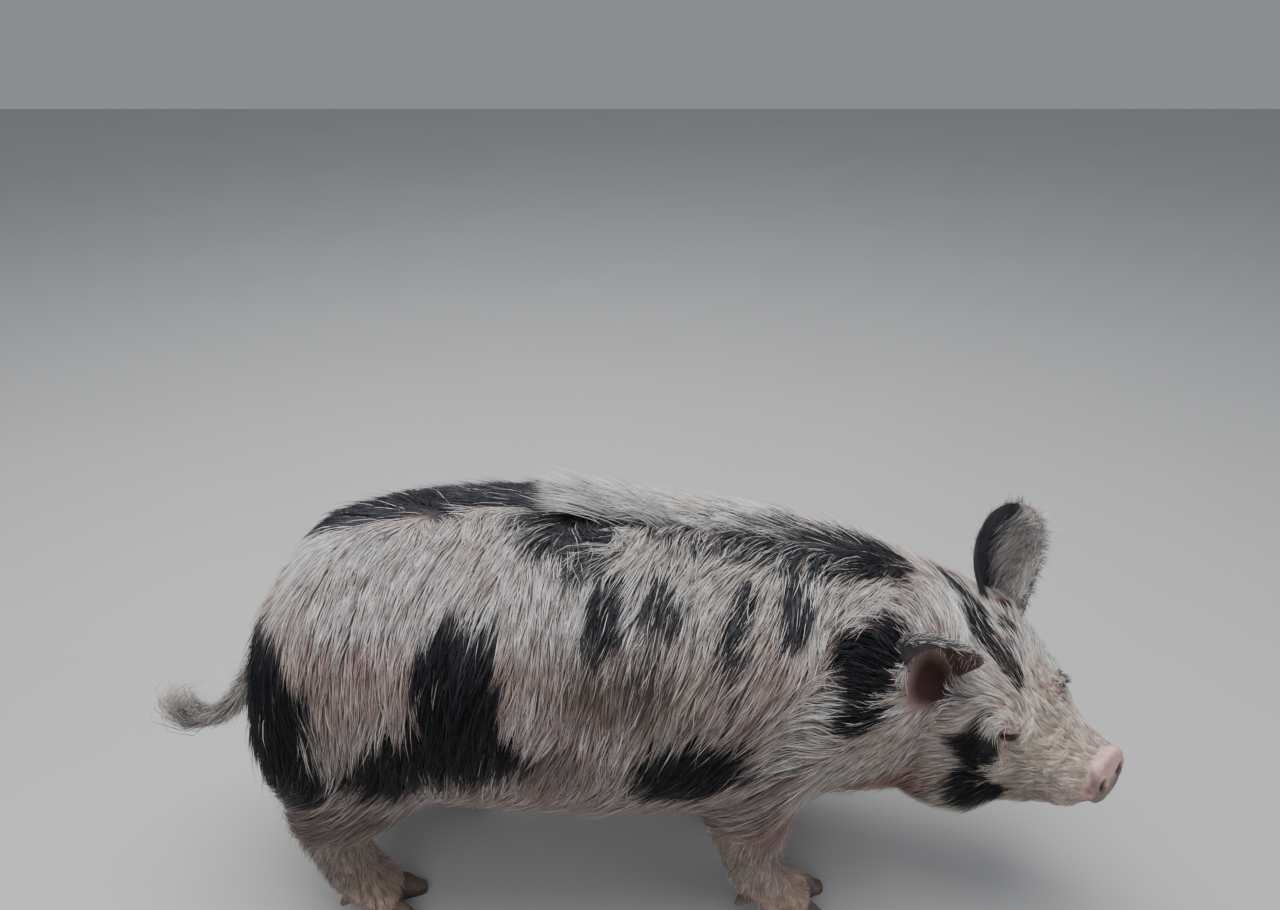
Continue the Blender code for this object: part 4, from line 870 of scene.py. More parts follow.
# Thin ear skin: soft, short-haired behind, bare, veined and a little waxy inside.
ear_look, tree, shader = new_material("ear_skin", IOR=1.4, Roughness=0.55, Subsurface_Weight=0.2,
                                      Subsurface_Scale=0.004, Subsurface_Radius=(1.0, 0.3, 0.15))
tint_by_coat(tree, shader, ranged(tree, noise(tree, 70.0, 6.0, Distortion=0.8), 0.72, 1.2, 0.35, 0.65))
rough = add(tree, "ShaderNodeBump", {"Strength": 0.5, "Distance": 0.0005}, Height=noise(tree, 900.0, 3.0))
tree.links.new(rough.outputs["Normal"], shader.inputs["Normal"])

# Inside colours: the right ear's is its red-brown skin painted darker as the shade under its forward-folded
# flap; the left's is pale.
EAR_BACK = {"right": linear("#464246"), "left": linear("#46454C")}
EAR_INSIDE = {"right": linear("#5E443E"), "left": linear("#DDD2D0")}
# Darker towards the root inside each cup: painted shade.
EAR_DEEP_SHADE, EAR_DEEP_SHADE_SHARE = linear("#3A1C19"), {"right": 0.85, "left": 0.35}
for name in SIDES:
    ear_points, ear_faces = ear_shape(name)
    # Each row of points runs across the back and returns over the inside; the last two close the ends.
    inside = np.r_[np.tile(np.repeat([0.0, 1.0], EAR_COLUMNS), EAR_ROWS), 1, 1]
    up_ear = np.r_[np.repeat(np.linspace(0, 1, EAR_ROWS), 2 * EAR_COLUMNS), 0, 0]
    there_and_back = np.r_[np.linspace(-1, 1, EAR_COLUMNS), np.linspace(1, -1, EAR_COLUMNS)]
    beside = np.r_[np.tile(there_and_back, EAR_ROWS), 0, 0]
    pale = inside
    if name == "left":
        pale = inside * smooth_step(-0.35, 0.25, beside - 0.5 * smooth_step(0.5, 1.0, up_ear))
    colours = mixed(EAR_BACK[name], EAR_INSIDE[name], pale)
    # Darker deep inside, towards the root: painted shade in the cup.
    deep_in = smooth_step(0.50, 0.15, up_ear) * inside
    colours = mixed(colours, EAR_DEEP_SHADE, EAR_DEEP_SHADE_SHARE[name] * deep_in)
    colours = colours * (1 + 0.15 * clouds(ear_points, 0.018, 51))[:, None]
    ear = mesh_piece("ear_skin_" + name, ear_points, outward(ear_points, ear_faces), ear_look, colours)
    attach(ear, "root")
    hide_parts("ear_" + name)


# Eyes. A small dark wet ball set deep between the lids: brown iris, black pupil, clear over all of it.

PUPIL, IRIS, EYE_WHITE = linear("#0A0807"), linear("#4A2E1C"), linear("#8D7468")
# A wet eye: the coat of tears is nearly a mirror over soft brown fibres.
eye_look, tree, shader = new_material("wet_eye", Roughness=0.08, IOR=1.38, Coat_Weight=1.0,
                                      Coat_Roughness=0.03)
tint_by_coat(tree, shader, ranged(tree, noise(tree, 900.0, 2.0), 0.7, 1.3, 0.0, 1.0))
for name, side in SIDES.items():
    centre, turn = eye_place(side)
    eye_points, eye_faces = ball(centre, (EYE_RADIUS,) * 3, turn, 40)
    local = (eye_points - centre) @ turn / EYE_RADIUS
    away = np.linalg.norm(local[:, 1:], axis=1) + 3 * (local[:, 0] < 0)
    colours = mixed(PUPIL, IRIS, smooth_step(0.26, 0.34, away))
    colours = mixed(colours, EYE_WHITE, smooth_step(0.66, 0.80, away))
    eye = mesh_piece("eyeball_" + name, eye_points, outward(eye_points, eye_faces), eye_look, colours)
    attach(eye, "root")
    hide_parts("eye_" + name)


# Claws. Each foot has two main claws of worn horn, flat-soled and splayed, and two dewclaws behind them,
# clear of the floor. Growth rings cross the horn, and dried mud fills its edges.

CLAW_LENGTH, CLAW_HALF_WIDTH, CLAW_HEIGHT = 0.062, 0.0140, 0.033
CLAW_APART, CLAW_SPLAY = 0.0160, 10.0
CLAW_AHEAD = {"front": 0.036, "hind": 0.016}
DEWCLAW_LENGTH, DEWCLAW_HALF_WIDTH, DEWCLAW_APART = 0.030, 0.0085, 0.0165


def claw_shape(foot_x, y, inner):
    """A blunt wedge of rings, its points under the floor raised to it."""
    yaw = -inner * CLAW_SPLAY
    turn = turned(yaw, 0)
    rows = [(0.00, 0.32, 0.74, 0.34, 0.40), (0.28, 0.42, 1.00, 0.56, 0.55), (0.60, 0.37, 0.96, 0.48, 0.50),
            (0.86, 0.21, 0.62, 0.25, 0.38)]
    start = np.array([foot_x, y + inner * CLAW_APART, 0]) - MIDDLE
    sections = []
    for along, middle, w, up, down in rows:
        at = start + turn[:, 0] * CLAW_LENGTH * along
        sections.append((at[0], at[1], CLAW_HEIGHT * middle, yaw, 0, CLAW_HALF_WIDTH * w, CLAW_HEIGHT * up,
                         CLAW_HEIGHT * down))
    shape, sides = closed_tube(rings_of(sections, 28, 28, (CLAW_LENGTH * 0.10, CLAW_LENGTH * 0.12), 2.5, 7))
    along = (shape - start) @ turn[:, 0] / CLAW_LENGTH
    waves = 0.00035 * np.sin(along * 46 + 5 * clouds(shape, 0.02, 61)) + 0.0004 * clouds(shape, 0.004, 62)
    end = start + turn[:, 0] * CLAW_LENGTH
    middle = np.stack([np.interp(along, [0, 1], [start[i], end[i]]) for i in range(3)], axis=1)
    middle[:, 2] = CLAW_HEIGHT * 0.3
    shape = shape + unit(shape - middle) * waves[:, None]
    shape[:, 2] = np.maximum(shape[:, 2], 0.0002)
    return shape, sides, smooth_step(0.25, -0.05, along), 1 - smooth_step(0.006, 0.014, shape[:, 2])


def dewclaw_shape(foot_x, y, inner):
    """A small blunt cone that points back and down."""
    turn = turned(180 + inner * 14, -42)
    start = np.array([foot_x + 0.002, y + inner * DEWCLAW_APART, 0.050]) - MIDDLE
    wide = DEWCLAW_HALF_WIDTH
    sections = []
    for along, size in ((0.0, 0.9), (0.35, 1.0), (0.7, 0.78), (0.92, 0.45)):
        at = start + turn[:, 0] * DEWCLAW_LENGTH * along
        sections.append((*at, 180 + inner * 14, -42, wide * size, wide * size, wide * size * 0.8))
    shape, sides = closed_tube(rings_of(sections, 18, 20, (0.003, 0.003), 2.2, 6))
    along = (shape - start) @ turn[:, 0] / DEWCLAW_LENGTH
    return shape, sides, smooth_step(0.3, 0.0, along), np.zeros(len(shape))


# Hoof horn: hard, dull, striped across by growth, tan to dark brown, with pale dried mud on it.
horn_look, tree, shader = new_material("hoof_horn", IOR=1.54)
streaks = noise(tree, 300.0, 5.0)
tint_by_coat(tree, shader, ranged(tree, streaks, 0.7, 1.25))
tree.links.new(ranged(tree, streaks, 0.5, 0.85), shader.inputs["Roughness"])
grit = add(tree, "ShaderNodeBump", {"Strength": 0.6, "Distance": 0.0006}, Height=streaks)
tree.links.new(grit.outputs["Normal"], shader.inputs["Normal"])

HORN, HORN_AT_ROOT, HORN_SOLE, HORN_MUD = map(linear, ("#6A5C55", "#A8907F", "#4A3A30", "#8E7C6C"))
for (place_name, feet), (name, side) in itertools.product(
        (("front", FRONT_FOOT_X), ("hind", HIND_FOOT_X)), SIDES.items()):
    for inner, which in ((-side, "inner"), (side, "outer")):
        y = side * FOOT_SIDE
        for kind, shape in (("claw", claw_shape(feet[name] + CLAW_AHEAD[place_name], y, inner)),
                            ("dewclaw", dewclaw_shape(feet[name], y, inner))):
            horn_points, horn_faces, root_share, sole_share = shape
            colours = mixed(HORN, HORN_AT_ROOT, root_share)
            colours = mixed(colours, HORN_SOLE, 0.7 * sole_share)
            colours = mixed(colours, HORN_MUD, smooth_step(0.0, 0.6, clouds(horn_points, 0.012, 63)) * 0.6)
            node = f"{kind}_{place_name}_{name}_{which}"
            piece = mesh_piece("horn_" + node, horn_points, outward(horn_points, horn_faces), horn_look,
                               colours)
            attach(piece, "root")
            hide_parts(node)


# The coat of trunk and neck. Bristles 45 to 60 mm long, white to pinkish cream on the light parts and black
# on the spots, rooted in the skin and lying back along it, in wavy locks that come together at their tips.

chance = np.random.default_rng(11)
skin_normals = arrays_of(hide.data)[1]
skin_tree = BVHTree.FromPolygons(points.tolist(), faces.tolist())
face_middles = points[faces].mean(axis=1)
face_cross = np.cross(points[faces[:, 1]] - points[faces[:, 0]], points[faces[:, 2]] - points[faces[:, 0]])
face_areas = np.linalg.norm(face_cross, axis=1) / 2
face_normals = unit(skin_normals[faces].mean(axis=1))


def on_skin(place):
    """The nearest place on the hide to each point, and the hide's smooth normal there."""
    found = [skin_tree.find_nearest(point) for point in place.tolist()]
    return np.array([hit[0][:] for hit in found]), face_normals[[hit[2] for hit in found]]


def sown(weights, count):
    """That many random places on the hide, by each face's area times its weight, with their normals."""
    share = np.cumsum(face_areas * weights)
    pick = np.searchsorted(share, chance.random(count) * share[-1])
    pick = np.minimum(pick, len(faces) - 1)
    a, b = chance.random((2, count))
    flip = a + b > 1
    a, b = np.where(flip, 1 - a, a), np.where(flip, 1 - b, b)
    first, second, third = points[faces[pick]].transpose(1, 0, 2)
    return first + a[:, None] * (second - first) + b[:, None] * (third - first), face_normals[pick]


def spread(count, share, least=0.4, most=1.7):
    """That many factors round 1, normally spread by that share, within limits."""
    return np.clip(1 + share * chance.normal(size=count), least, most)


def drift(place, size, seed):
    """A smooth random vector at each point, each part from -1 to 1."""
    return np.stack([clouds(place, size, seed + i) for i in range(3)], axis=1)


def tangent(way, normal):
    """The part of each way that lies along the surface."""
    return unit(way - normal * np.einsum("ij,ij->i", way, normal)[:, None])


# The middle of the whorl over the loins, its radius, and how far left of the spine the coat parts
WHORL, WHORL_RADIUS, PARTING = np.array([-0.012, -0.030, 0.500]), 0.040, 0.035


def body_lie(place):
    """Which way the coat lies on trunk and neck: back along a parting just left of the spine, then down the
    flanks and rump, turning in one whorl over the loins and wandering a little everywhere."""
    knots = [-0.45, -0.36, -0.20, -0.02, 0.10, 0.25, 0.45]
    back = np.interp(place[:, 0], knots, [-0.02, -0.06, -0.16, -0.30, -0.50, -0.78, -0.85])
    down = np.interp(place[:, 0], knots, [-1.00, -1.00, -0.95, -0.88, -0.78, -0.62, -0.50])
    low = smooth_step(0.31, 0.23, place[:, 2])
    from_parting = place[:, 1] - PARTING
    off_spine = np.where(from_parting < 0, smooth_step(0.0, 0.045, -from_parting),
                         smooth_step(0.045, 0.150, from_parting))
    hang = np.where(place[:, 0] < -0.38, 1.0, 0.35 + 0.65 * off_spine)
    outward_share = 0.85 * np.sign(from_parting) * off_spine * (1 - low)
    way = np.stack([back - 0.75 * low - 0.3 * (1 - hang), hang * outward_share,
                    down * hang * (1 - 0.5 * low)], axis=1)
    away = place - WHORL
    spin = np.exp(-((away**2).sum(axis=1) / WHORL_RADIUS**2))
    x, y, _ = away.T
    way += 1.3 * spin[:, None] * unit(np.stack([y - 0.6 * x, -x - 0.6 * y, 0 * x], axis=1))
    return way + 0.34 * drift(place, 0.070, 71) + 0.22 * drift(place, 0.022, 74)


def head_lie(place):
    """On the head the coat runs back from the snout, up over the brow to the poll, and back and down over
    the cheeks and under the jaw. It turns in a ring round each eye and away from the right ear's hollow."""
    local = in_head(place)
    _, aside, above = local.T
    hang = np.interp(above, [-0.06, 0.0, 0.05], [-0.85, -0.35, 0.25])
    apart = np.clip(aside / 0.05, -1, 1) * np.interp(above, [-0.05, 0.03, 0.07], [0.6, 0.7, 0.25])
    way = np.stack([-np.ones(len(place)), apart, hang], axis=1)
    for side in SIDES.values():
        away = local - np.array(EYE_AT) * [1, side, 1] - np.array([0, 0, 0.006])
        near = bell(np.linalg.norm(away, axis=1) - 0.020, 0.017)[:, None]
        way += 2.6 * near * side * unit(np.cross(away, np.array([0.35, side * 0.75, 0.55])))
    away = local - HOLLOW_AT * [1, SIDES["right"], 1]
    way += 2.2 * np.exp(-((away / 0.042) ** 2).sum(axis=1))[:, None] * unit(away)
    return (way + 0.30 * drift(place, 0.030, 81) + 0.12 * drift(place, 0.010, 84)) @ HEAD_TURN.T


def coat_lie(place):
    """The head's lie in front of the poll and jowls, the body's behind, and a blend between."""
    share = smooth_step(-0.075, -0.020, in_head(place)[:, 0])[:, None]
    return unit(body_lie(place)) * (1 - share) + unit(head_lie(place)) * share


STRAND_AT = np.array([0.0, 0.30, 0.64, 1.0])
LONG, SHORT = [0, 1, 2, 3], [0, 2, 3]


def straight(roots, ways, length):
    """Middle lines of strands that leave their roots straight along the ways."""
    return roots[:, None] + ways[:, None] * (length[:, None] * STRAND_AT)[:, :, None]


def combed(place, normal, lie, length, lift, bend=0.0, sunk=0.0015):
    """Middle lines of strands: each walks over the hide along the lie in three steps, at a height that
    grows with the 0.8th power of the way along, and swings aside with its square by the bend."""
    line, way = [place], tangent(lie(place), normal)
    ups = [normal]
    aside = np.cross(normal, way)
    for step in np.diff(STRAND_AT):
        place, normal = on_skin(place + way * (length * step)[:, None])
        way = tangent(way + 0.35 * tangent(lie(place), normal), normal)
        line.append(place)
        ups.append(normal)
    height = lift[:, None] * STRAND_AT**0.8 - sunk * (STRAND_AT == 0)
    swing = (np.zeros(len(place)) + bend)[:, None] * STRAND_AT**2
    ups = np.stack(ups, axis=1)
    return np.stack(line, axis=1) + ups * height[:, :, None] + aside[:, None] * swing[:, :, None], ups


def gathered_to(lines, roots, guides, guide_roots, pull):
    """Draws each strand towards the nearest guide strand, more and more along its length, and tells which
    guide that was."""
    find = KDTree(len(guide_roots))
    for index, root in enumerate(guide_roots.tolist()):
        find.insert(root, index)
    find.balance()
    near = np.array([find.find(root)[1] for root in roots.tolist()])
    share = (pull[:, None] * STRAND_AT**1.2)[:, :, None]
    keep = (1 - 0.75 * share) * (lines - lines[:, :1])
    goal = guides[near] - guides[near][:, :1]
    bunch = (guide_roots[near] - roots)[:, None] * share
    return lines[:, :1] + keep + 0.75 * share * goal + bunch, near


def bristles(name, lines, ups, width, colours, bake_at, rows=LONG):
    """One mesh of closed three-sided bristles: rings and a point on each middle line at the chosen rows,
    widest a third of the way up. Each has its colours from root to tip, and a small patch of the bake map."""
    count, rings, level = len(lines), len(rows) - 1, STRAND_AT[rows]
    along = unit(np.gradient(lines, axis=1))
    aside = unit(np.cross(along, ups))
    above = np.cross(aside, along)
    angle = np.radians([90, 210, 330])[:, None]
    across = np.cos(angle) * aside[:, rows[:-1], None] + 0.6 * np.sin(angle) * above[:, rows[:-1], None]
    radius = width[:, None] / 2 * np.interp(level[:-1], [0, 0.3, 0.64], [0.75, 1.0, 0.72])
    shape = (lines[:, rows[:-1], None] + across * radius[:, :, None, None]).reshape(count, 3 * rings, 3)
    shape = np.concatenate([shape, lines[:, 3:]], axis=1)
    one = [[0, 1, 2]]
    for row, side in itertools.product(range(rings - 1), range(3)):
        a, b = 3 * row + side, 3 * row + (side + 1) % 3
        one += [[a, b + 3, b], [a, a + 3, b + 3]]
    one += [[3 * rings - 3 + (side + 1) % 3, 3 * rings - 3 + side, 3 * rings] for side in range(3)]
    sides = (np.array(one)[None] + (3 * rings + 1) * np.arange(count)[:, None, None]).reshape(-1, 3)
    point_level = np.r_[np.repeat(level[:-1], 3), 1.0]
    shades = mixed(colours[0][:, None], colours[1][:, None],
                   np.broadcast_to(smooth_step(0.0, 0.85, point_level), (count, len(point_level))))
    patch = np.stack([np.r_[np.tile([-0.5, 0.0, 0.5], rings), 0.0], point_level - 0.5], axis=1) * 0.003
    bake = np.clip(0.004 + 0.992 * bake_at[:, None] + patch[None], 0, 1)
    piece = mesh_piece(name, shape.reshape(-1, 3), sides, bristle_look, shades.reshape(-1, 3),
                       bake.reshape(-1, 2))
    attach(piece, "root")


# Pig bristle: solid keratin, slightly glossy along its length, drawn about four times as thick as the
# real 0.25 mm so that each one shows.
bristle_look, tree, shader = new_material("bristle", Roughness=0.45, IOR=1.5, Specular_IOR_Level=0.4)
tint_by_coat(tree, shader, ranged(tree, noise(tree, 60.0, 5.0), 0.82, 1.14))

HAIR_WHITE, HAIR_CREAM, HAIR_PINK = linear("#FAF8F6"), linear("#DAD1C8"), linear("#CDB3AC")
# The mud colour also paints the darkening low on the body, part dirt and part painted shade.
HAIR_BLACK, HAIR_GREY, HAIR_MUD_AND_SHADE = linear("#17171B"), linear("#54555D"), linear("#6F5C52")
HAIR_STRAW, HAIR_RAW = linear("#DED2C0"), linear("#BB857A")


def hair_colours(lines, lock):
    """Root and tip colours of each bristle from the markings at its middle, and from its lock's own shade,
    a normally spread number. Near a spot's edge each bristle is either light or dark, by chance, and a few
    bristles and whole locks of the other kind stray everywhere. Roots are darker than tips, a painted shade
    deep in the coat. Along the top, light bristles are whiter, a painted highlight, and dark ones greyer, a
    painted sheen; low on the body all are darker, part dirt and part painted shade."""
    middle = lines[:, 1:3].mean(axis=1)
    dark, mud_and_low_shade, pink, painted_highlight, raw = markings(middle, 0.16)
    count = len(lines)
    chances = 0.02 + 0.97 * dark + 0.30 * (lock > 1.7) - 0.02 * (lock < -1.4)
    black = chance.random(count) < chances
    noise = chance.normal(size=(6, count))
    light = mixed(HAIR_CREAM, HAIR_STRAW, np.clip(on_head(middle, 0.02, 0.08) * (0.8 + 0.2 * noise[0]), 0, 1))
    light = mixed(light, HAIR_PINK, np.clip(0.80 * pink + 0.15 * noise[1] - 0.15 * lock, 0, 1))
    # Whiter along the top of the back and on the poll: a painted highlight.
    light = mixed(light, HAIR_WHITE, np.clip(0.08 + 0.85 * painted_highlight + 0.20 * noise[2] + 0.20 * lock, 0, 1))
    light = mixed(light, HAIR_RAW, np.clip(0.75 * raw + 0.10 * noise[3], 0, 1) * (raw > 0.02))
    # Mud, and the darkening low on the body: part dirt, part painted shade.
    light = mixed(light, HAIR_MUD_AND_SHADE, np.clip(0.95 * mud_and_low_shade + 0.10 * noise[4] * (mud_and_low_shade > 0.05), 0, 1))
    blush = bell(middle[:, 0] + 0.20, 0.13) * smooth_step(0.36, 0.42, middle[:, 2])
    light = light * (1 + blush[:, None] * np.array([0.05, -0.05, -0.035]))
    # Dark bristles are greyer at a spot's fading edge, which is their own colour, and greyer along the top of
    # the body, which is a painted sheen.
    grey_and_sheen = 0.08 + 0.75 * (1 - dark) + 0.45 * smooth_step(0.38, 0.48, middle[:, 2])
    deep = mixed(HAIR_BLACK, HAIR_GREY, np.clip(grey_and_sheen + 0.16 * noise[5] + 0.10 * lock, 0, 1))
    tip = np.where(black[:, None], deep, light) * (np.exp(0.10 * lock) * spread(count, 0.10))[:, None]
    tip = np.clip(tip, 0.003, 0.95)
    # Roots darker than tips: painted shade deep in the coat.
    return tip * np.where(black, 0.80, 0.62)[:, None], tip


local_middles = in_head(face_middles)
bare_snout = ((face_middles - from_head(SNOUT_AT)) @ SNOUT_TURN)[:, 0] > -0.006
trunk_share = 1 - on_head(face_middles, -0.03, 0.0)
above_legs = np.maximum(smooth_step(0.150, 0.200, face_middles[:, 2]),
                        smooth_step(0.20, 0.24, face_middles[:, 0]) * (face_middles[:, 2] > 0.10))
underside = smooth_step(0.55, 0.85, -face_normals[:, 2]) * smooth_step(0.20, 0.10, face_middles[:, 0])
off_hollow = smooth_step(0.80, 0.50, ear_hollow(face_middles))
off_tail = (np.linalg.norm(face_middles - TAIL_PATH[2], axis=1) > 0.045) | (face_middles[:, 0] > -0.425)
coat_density = trunk_share * above_legs * (1 - 0.75 * underside) * off_tail * off_hollow


def body_bake(roots):
    """The trunk unrolled round its long axis: angle across the map, distance along it up the map."""
    angle = np.arctan2(roots[:, 1], roots[:, 2] - 0.33) / (2 * np.pi) + 0.5
    return np.stack([angle, np.clip((roots[:, 0] + 0.46) / 0.92, 0, 1)], axis=1)


def spread_out(where):
    """Bake places stretched so that one piece's roots fill the map."""
    low, high = where.min(axis=0), where.max(axis=0)
    return (where - low) / np.maximum(high - low, 1e-6)


BANDS = (-0.50, -0.330, -0.215, -0.105, 0.005, 0.120, 0.235, 0.50)
BAND_NAMES = ("rump", "thigh", "loin", "flank", "ribs", "shoulder", "neck")
COAT_STRANDS, COAT_LOCKS = 58000, 6500
BRISTLE_LENGTH, LOCK_LENGTH, BRISTLE_WIDTH = 0.051, 0.053, 0.00102
guide_roots, guide_normals = sown(coat_density, COAT_LOCKS)
guide_lock = chance.normal(size=COAT_LOCKS)
guides, _ = combed(guide_roots, guide_normals, coat_lie, LOCK_LENGTH * spread(COAT_LOCKS, 0.14),
                   0.010 + 0.0035 * chance.normal(size=COAT_LOCKS), 0.008 * chance.normal(size=COAT_LOCKS))
roots, root_normals = sown(coat_density, COAT_STRANDS)
stray = chance.random(COAT_STRANDS) < 0.05
fringe = 1.0 + 0.22 * bell(roots[:, 2] - 0.21, 0.05)
long = BRISTLE_LENGTH * spread(COAT_STRANDS, 0.18) * fringe * (1 + 0.2 * stray)
lift = np.clip(0.0085 + 0.0035 * chance.normal(size=COAT_STRANDS), 0.002, 0.017) + 0.008 * stray
bend = (0.003 + 0.007 * stray) * chance.normal(size=COAT_STRANDS)
lines, ups = combed(roots, root_normals, coat_lie, long, lift, bend)
pull = np.clip(0.68 + 0.20 * chance.normal(size=COAT_STRANDS), 0, 1) * (1 - 0.7 * stray)
lines, near = gathered_to(lines, roots, guides, guide_roots, pull)
shaded_root_colour, tip_colour = hair_colours(lines, guide_lock[near])
width = BRISTLE_WIDTH * spread(COAT_STRANDS, 0.24)
for (start, end), band in zip(itertools.pairwise(BANDS), BAND_NAMES):
    for name, side in SIDES.items():
        mine = (roots[:, 0] >= start) & (roots[:, 0] < end) & ((roots[:, 1] >= 0) == (side > 0))
        bristles(f"coat_{band}_{name}", lines[mine], ups[mine], width[mine],
                 (shaded_root_colour[mine], tip_colour[mine]), spread_out(body_bake(roots[mine])))


# The crest. White bristles on the spine, about 100 mm long over the loins and half that over the withers,
# which stand off it and lean back.

CREST_STRANDS, CREST_LOCKS = 2100, 70
TUFT_LENGTH, WITHERS_LENGTH = 0.098, 0.048
in_tuft = chance.random(CREST_STRANDS) < 0.62
crest_x = np.where(in_tuft, chance.uniform(-0.005, 0.080, CREST_STRANDS),
                   chance.uniform(0.07, 0.25, CREST_STRANDS))
crest_y = 0.014 + 0.011 * chance.normal(size=CREST_STRANDS)
crest_start = np.stack([crest_x, crest_y, np.full(CREST_STRANDS, 0.56)], axis=1)
crest_roots, crest_normals = on_skin(crest_start)
crest_long = np.where(in_tuft, TUFT_LENGTH, WITHERS_LENGTH) * spread(CREST_STRANDS, 0.13)
crest_way = np.stack([-0.92 + 0.12 * clouds(crest_roots, 0.03, 91), 0.25 * clouds(crest_roots, 0.02, 92),
                      np.where(in_tuft, 0.40, 0.20)], axis=1)
crest_way = unit(crest_way + 0.12 * chance.normal(size=(CREST_STRANDS, 3)))
crest_lines = straight(crest_roots, crest_way, crest_long)
crest_lines[:, :, 2] += 0.30 * crest_long[:, None] * (STRAND_AT - STRAND_AT**2) - 0.002 * (STRAND_AT == 0)
pull = np.clip(0.70 + 0.15 * chance.normal(size=CREST_STRANDS), 0, 1)
crest_lines, near = gathered_to(crest_lines, crest_roots, crest_lines[:CREST_LOCKS],
                                crest_roots[:CREST_LOCKS], pull)
crest_grey = chance.random(CREST_LOCKS)[near] ** np.where(in_tuft, 3.0, 1.2)
crest_grey = np.clip(crest_grey + 0.15 * chance.normal(size=CREST_STRANDS), 0, 1)
crest_tip = mixed(HAIR_WHITE, HAIR_GREY * 0.8, crest_grey)
# Roots darker than tips: painted shade at the skin.
bristles("coat_crest", crest_lines, np.repeat(crest_normals[:, None], 4, axis=1),
         0.0010 * spread(CREST_STRANDS, 0.2), (crest_tip * 0.6, crest_tip),
         spread_out(body_bake(crest_roots)))


# The coat of the head. Shorter and finer bristles, 9 mm behind the snout growing to 44 mm on jowls and
# poll. They leave the disc, the lips' edge, the eye openings and the hollows of the ears bare.

head_weight = on_head(face_middles, -0.03, 0.0) * ~bare_snout * off_hollow
head_weight = head_weight * (from_mouth(face_middles) > 0.0028)
for side in SIDES.values():
    centre, turn = eye_place(side)
    rim = (face_middles - centre) @ turn
    on_lids = np.sqrt((rim[:, 1] / 0.0135) ** 2 + (rim[:, 2] / 0.0070) ** 2) < 1
    head_weight = head_weight * ~(on_lids & (rim[:, 0] > 0))


def head_length(place):
    """How long the coat is over the head: by the distance from the snout, longer under the jaw and on the
    brow, short on the cheek below the ear."""
    local = in_head(place)
    ahead, aside, above = local.T
    long = np.interp(ahead, [-0.03, 0.0, 0.03, 0.06, 0.09, 0.12, 0.15, 0.185],
                     [0.044, 0.042, 0.037, 0.033, 0.028, 0.022, 0.016, 0.009])
    beard = smooth_step(-0.02, -0.07, above) * smooth_step(0.165, 0.12, ahead)
    cheek = smooth_step(0.055, 0.030, ahead) * smooth_step(0.055, 0.030, above)
    cheek = cheek * smooth_step(-0.07, -0.04, above)
    brow = smooth_step(0.045, 0.07, above) * smooth_step(0.13, 0.10, ahead)
    near_eye = sum(bell(np.linalg.norm(local - np.array(EYE_AT) * [1, side, 1], axis=1), 0.019)
                   for side in SIDES.values())
    mirrored = np.stack([ahead, np.abs(aside), above], axis=1)
    near_ear = bell(np.linalg.norm(mirrored - HOLLOW_AT, axis=1), 0.050)
    long = long * (1 + 0.45 * beard + 0.25 * brow - 0.45 * cheek)
    return long * (1 - 0.80 * near_eye) * (1 - 0.60 * near_ear)


def head_bake(place):
    """The head unrolled round its own long axis."""
    ahead, aside, above = in_head(place).T
    return np.stack([np.arctan2(aside, above) / (2 * np.pi) + 0.5, ahead], axis=1)


HEAD_STRANDS, HEAD_LOCKS = 25000, 2600
near_face = 1 + 1.6 * smooth_step(0.04, 0.12, local_middles[:, 0])
guide_roots, guide_normals = sown(head_weight, HEAD_LOCKS)
guide_lock = chance.normal(size=HEAD_LOCKS)
long = head_length(guide_roots)
guides, _ = combed(guide_roots, guide_normals, coat_lie, long, 0.26 * long * spread(HEAD_LOCKS, 0.25),
                   0.003 * chance.normal(size=HEAD_LOCKS))
roots, root_normals = sown(head_weight * near_face, HEAD_STRANDS)
long = head_length(roots) * spread(HEAD_STRANDS, 0.22)
ahead, aside, _ = in_head(roots).T
lines, ups = combed(roots, root_normals, coat_lie, long,
                    long * np.interp(ahead, [0.05, 0.12], [0.24, 0.15]) * spread(HEAD_STRANDS, 0.35),
                    0.10 * long * chance.normal(size=HEAD_STRANDS), 0.001)
pull = np.clip(0.55 + 0.25 * chance.normal(size=HEAD_STRANDS), 0, 1)
lines, near = gathered_to(lines, roots, guides, guide_roots, pull)
shaded_root_colour, tip_colour = hair_colours(lines, guide_lock[near])
width = np.interp(ahead, [0.02, 0.16], [0.00092, 0.00055]) * spread(HEAD_STRANDS, 0.2)
for name, side in SIDES.items():
    mine = (aside >= 0) == (side > 0)
    bristles(f"coat_head_{name}", lines[mine], ups[mine], width[mine], (shaded_root_colour[mine], tip_colour[mine]),
             spread_out(head_bake(roots[mine])), rows=SHORT)


# Brows and lashes. Longer white bristles curl round over each eye, and short dark lashes fringe the upper
# lid.

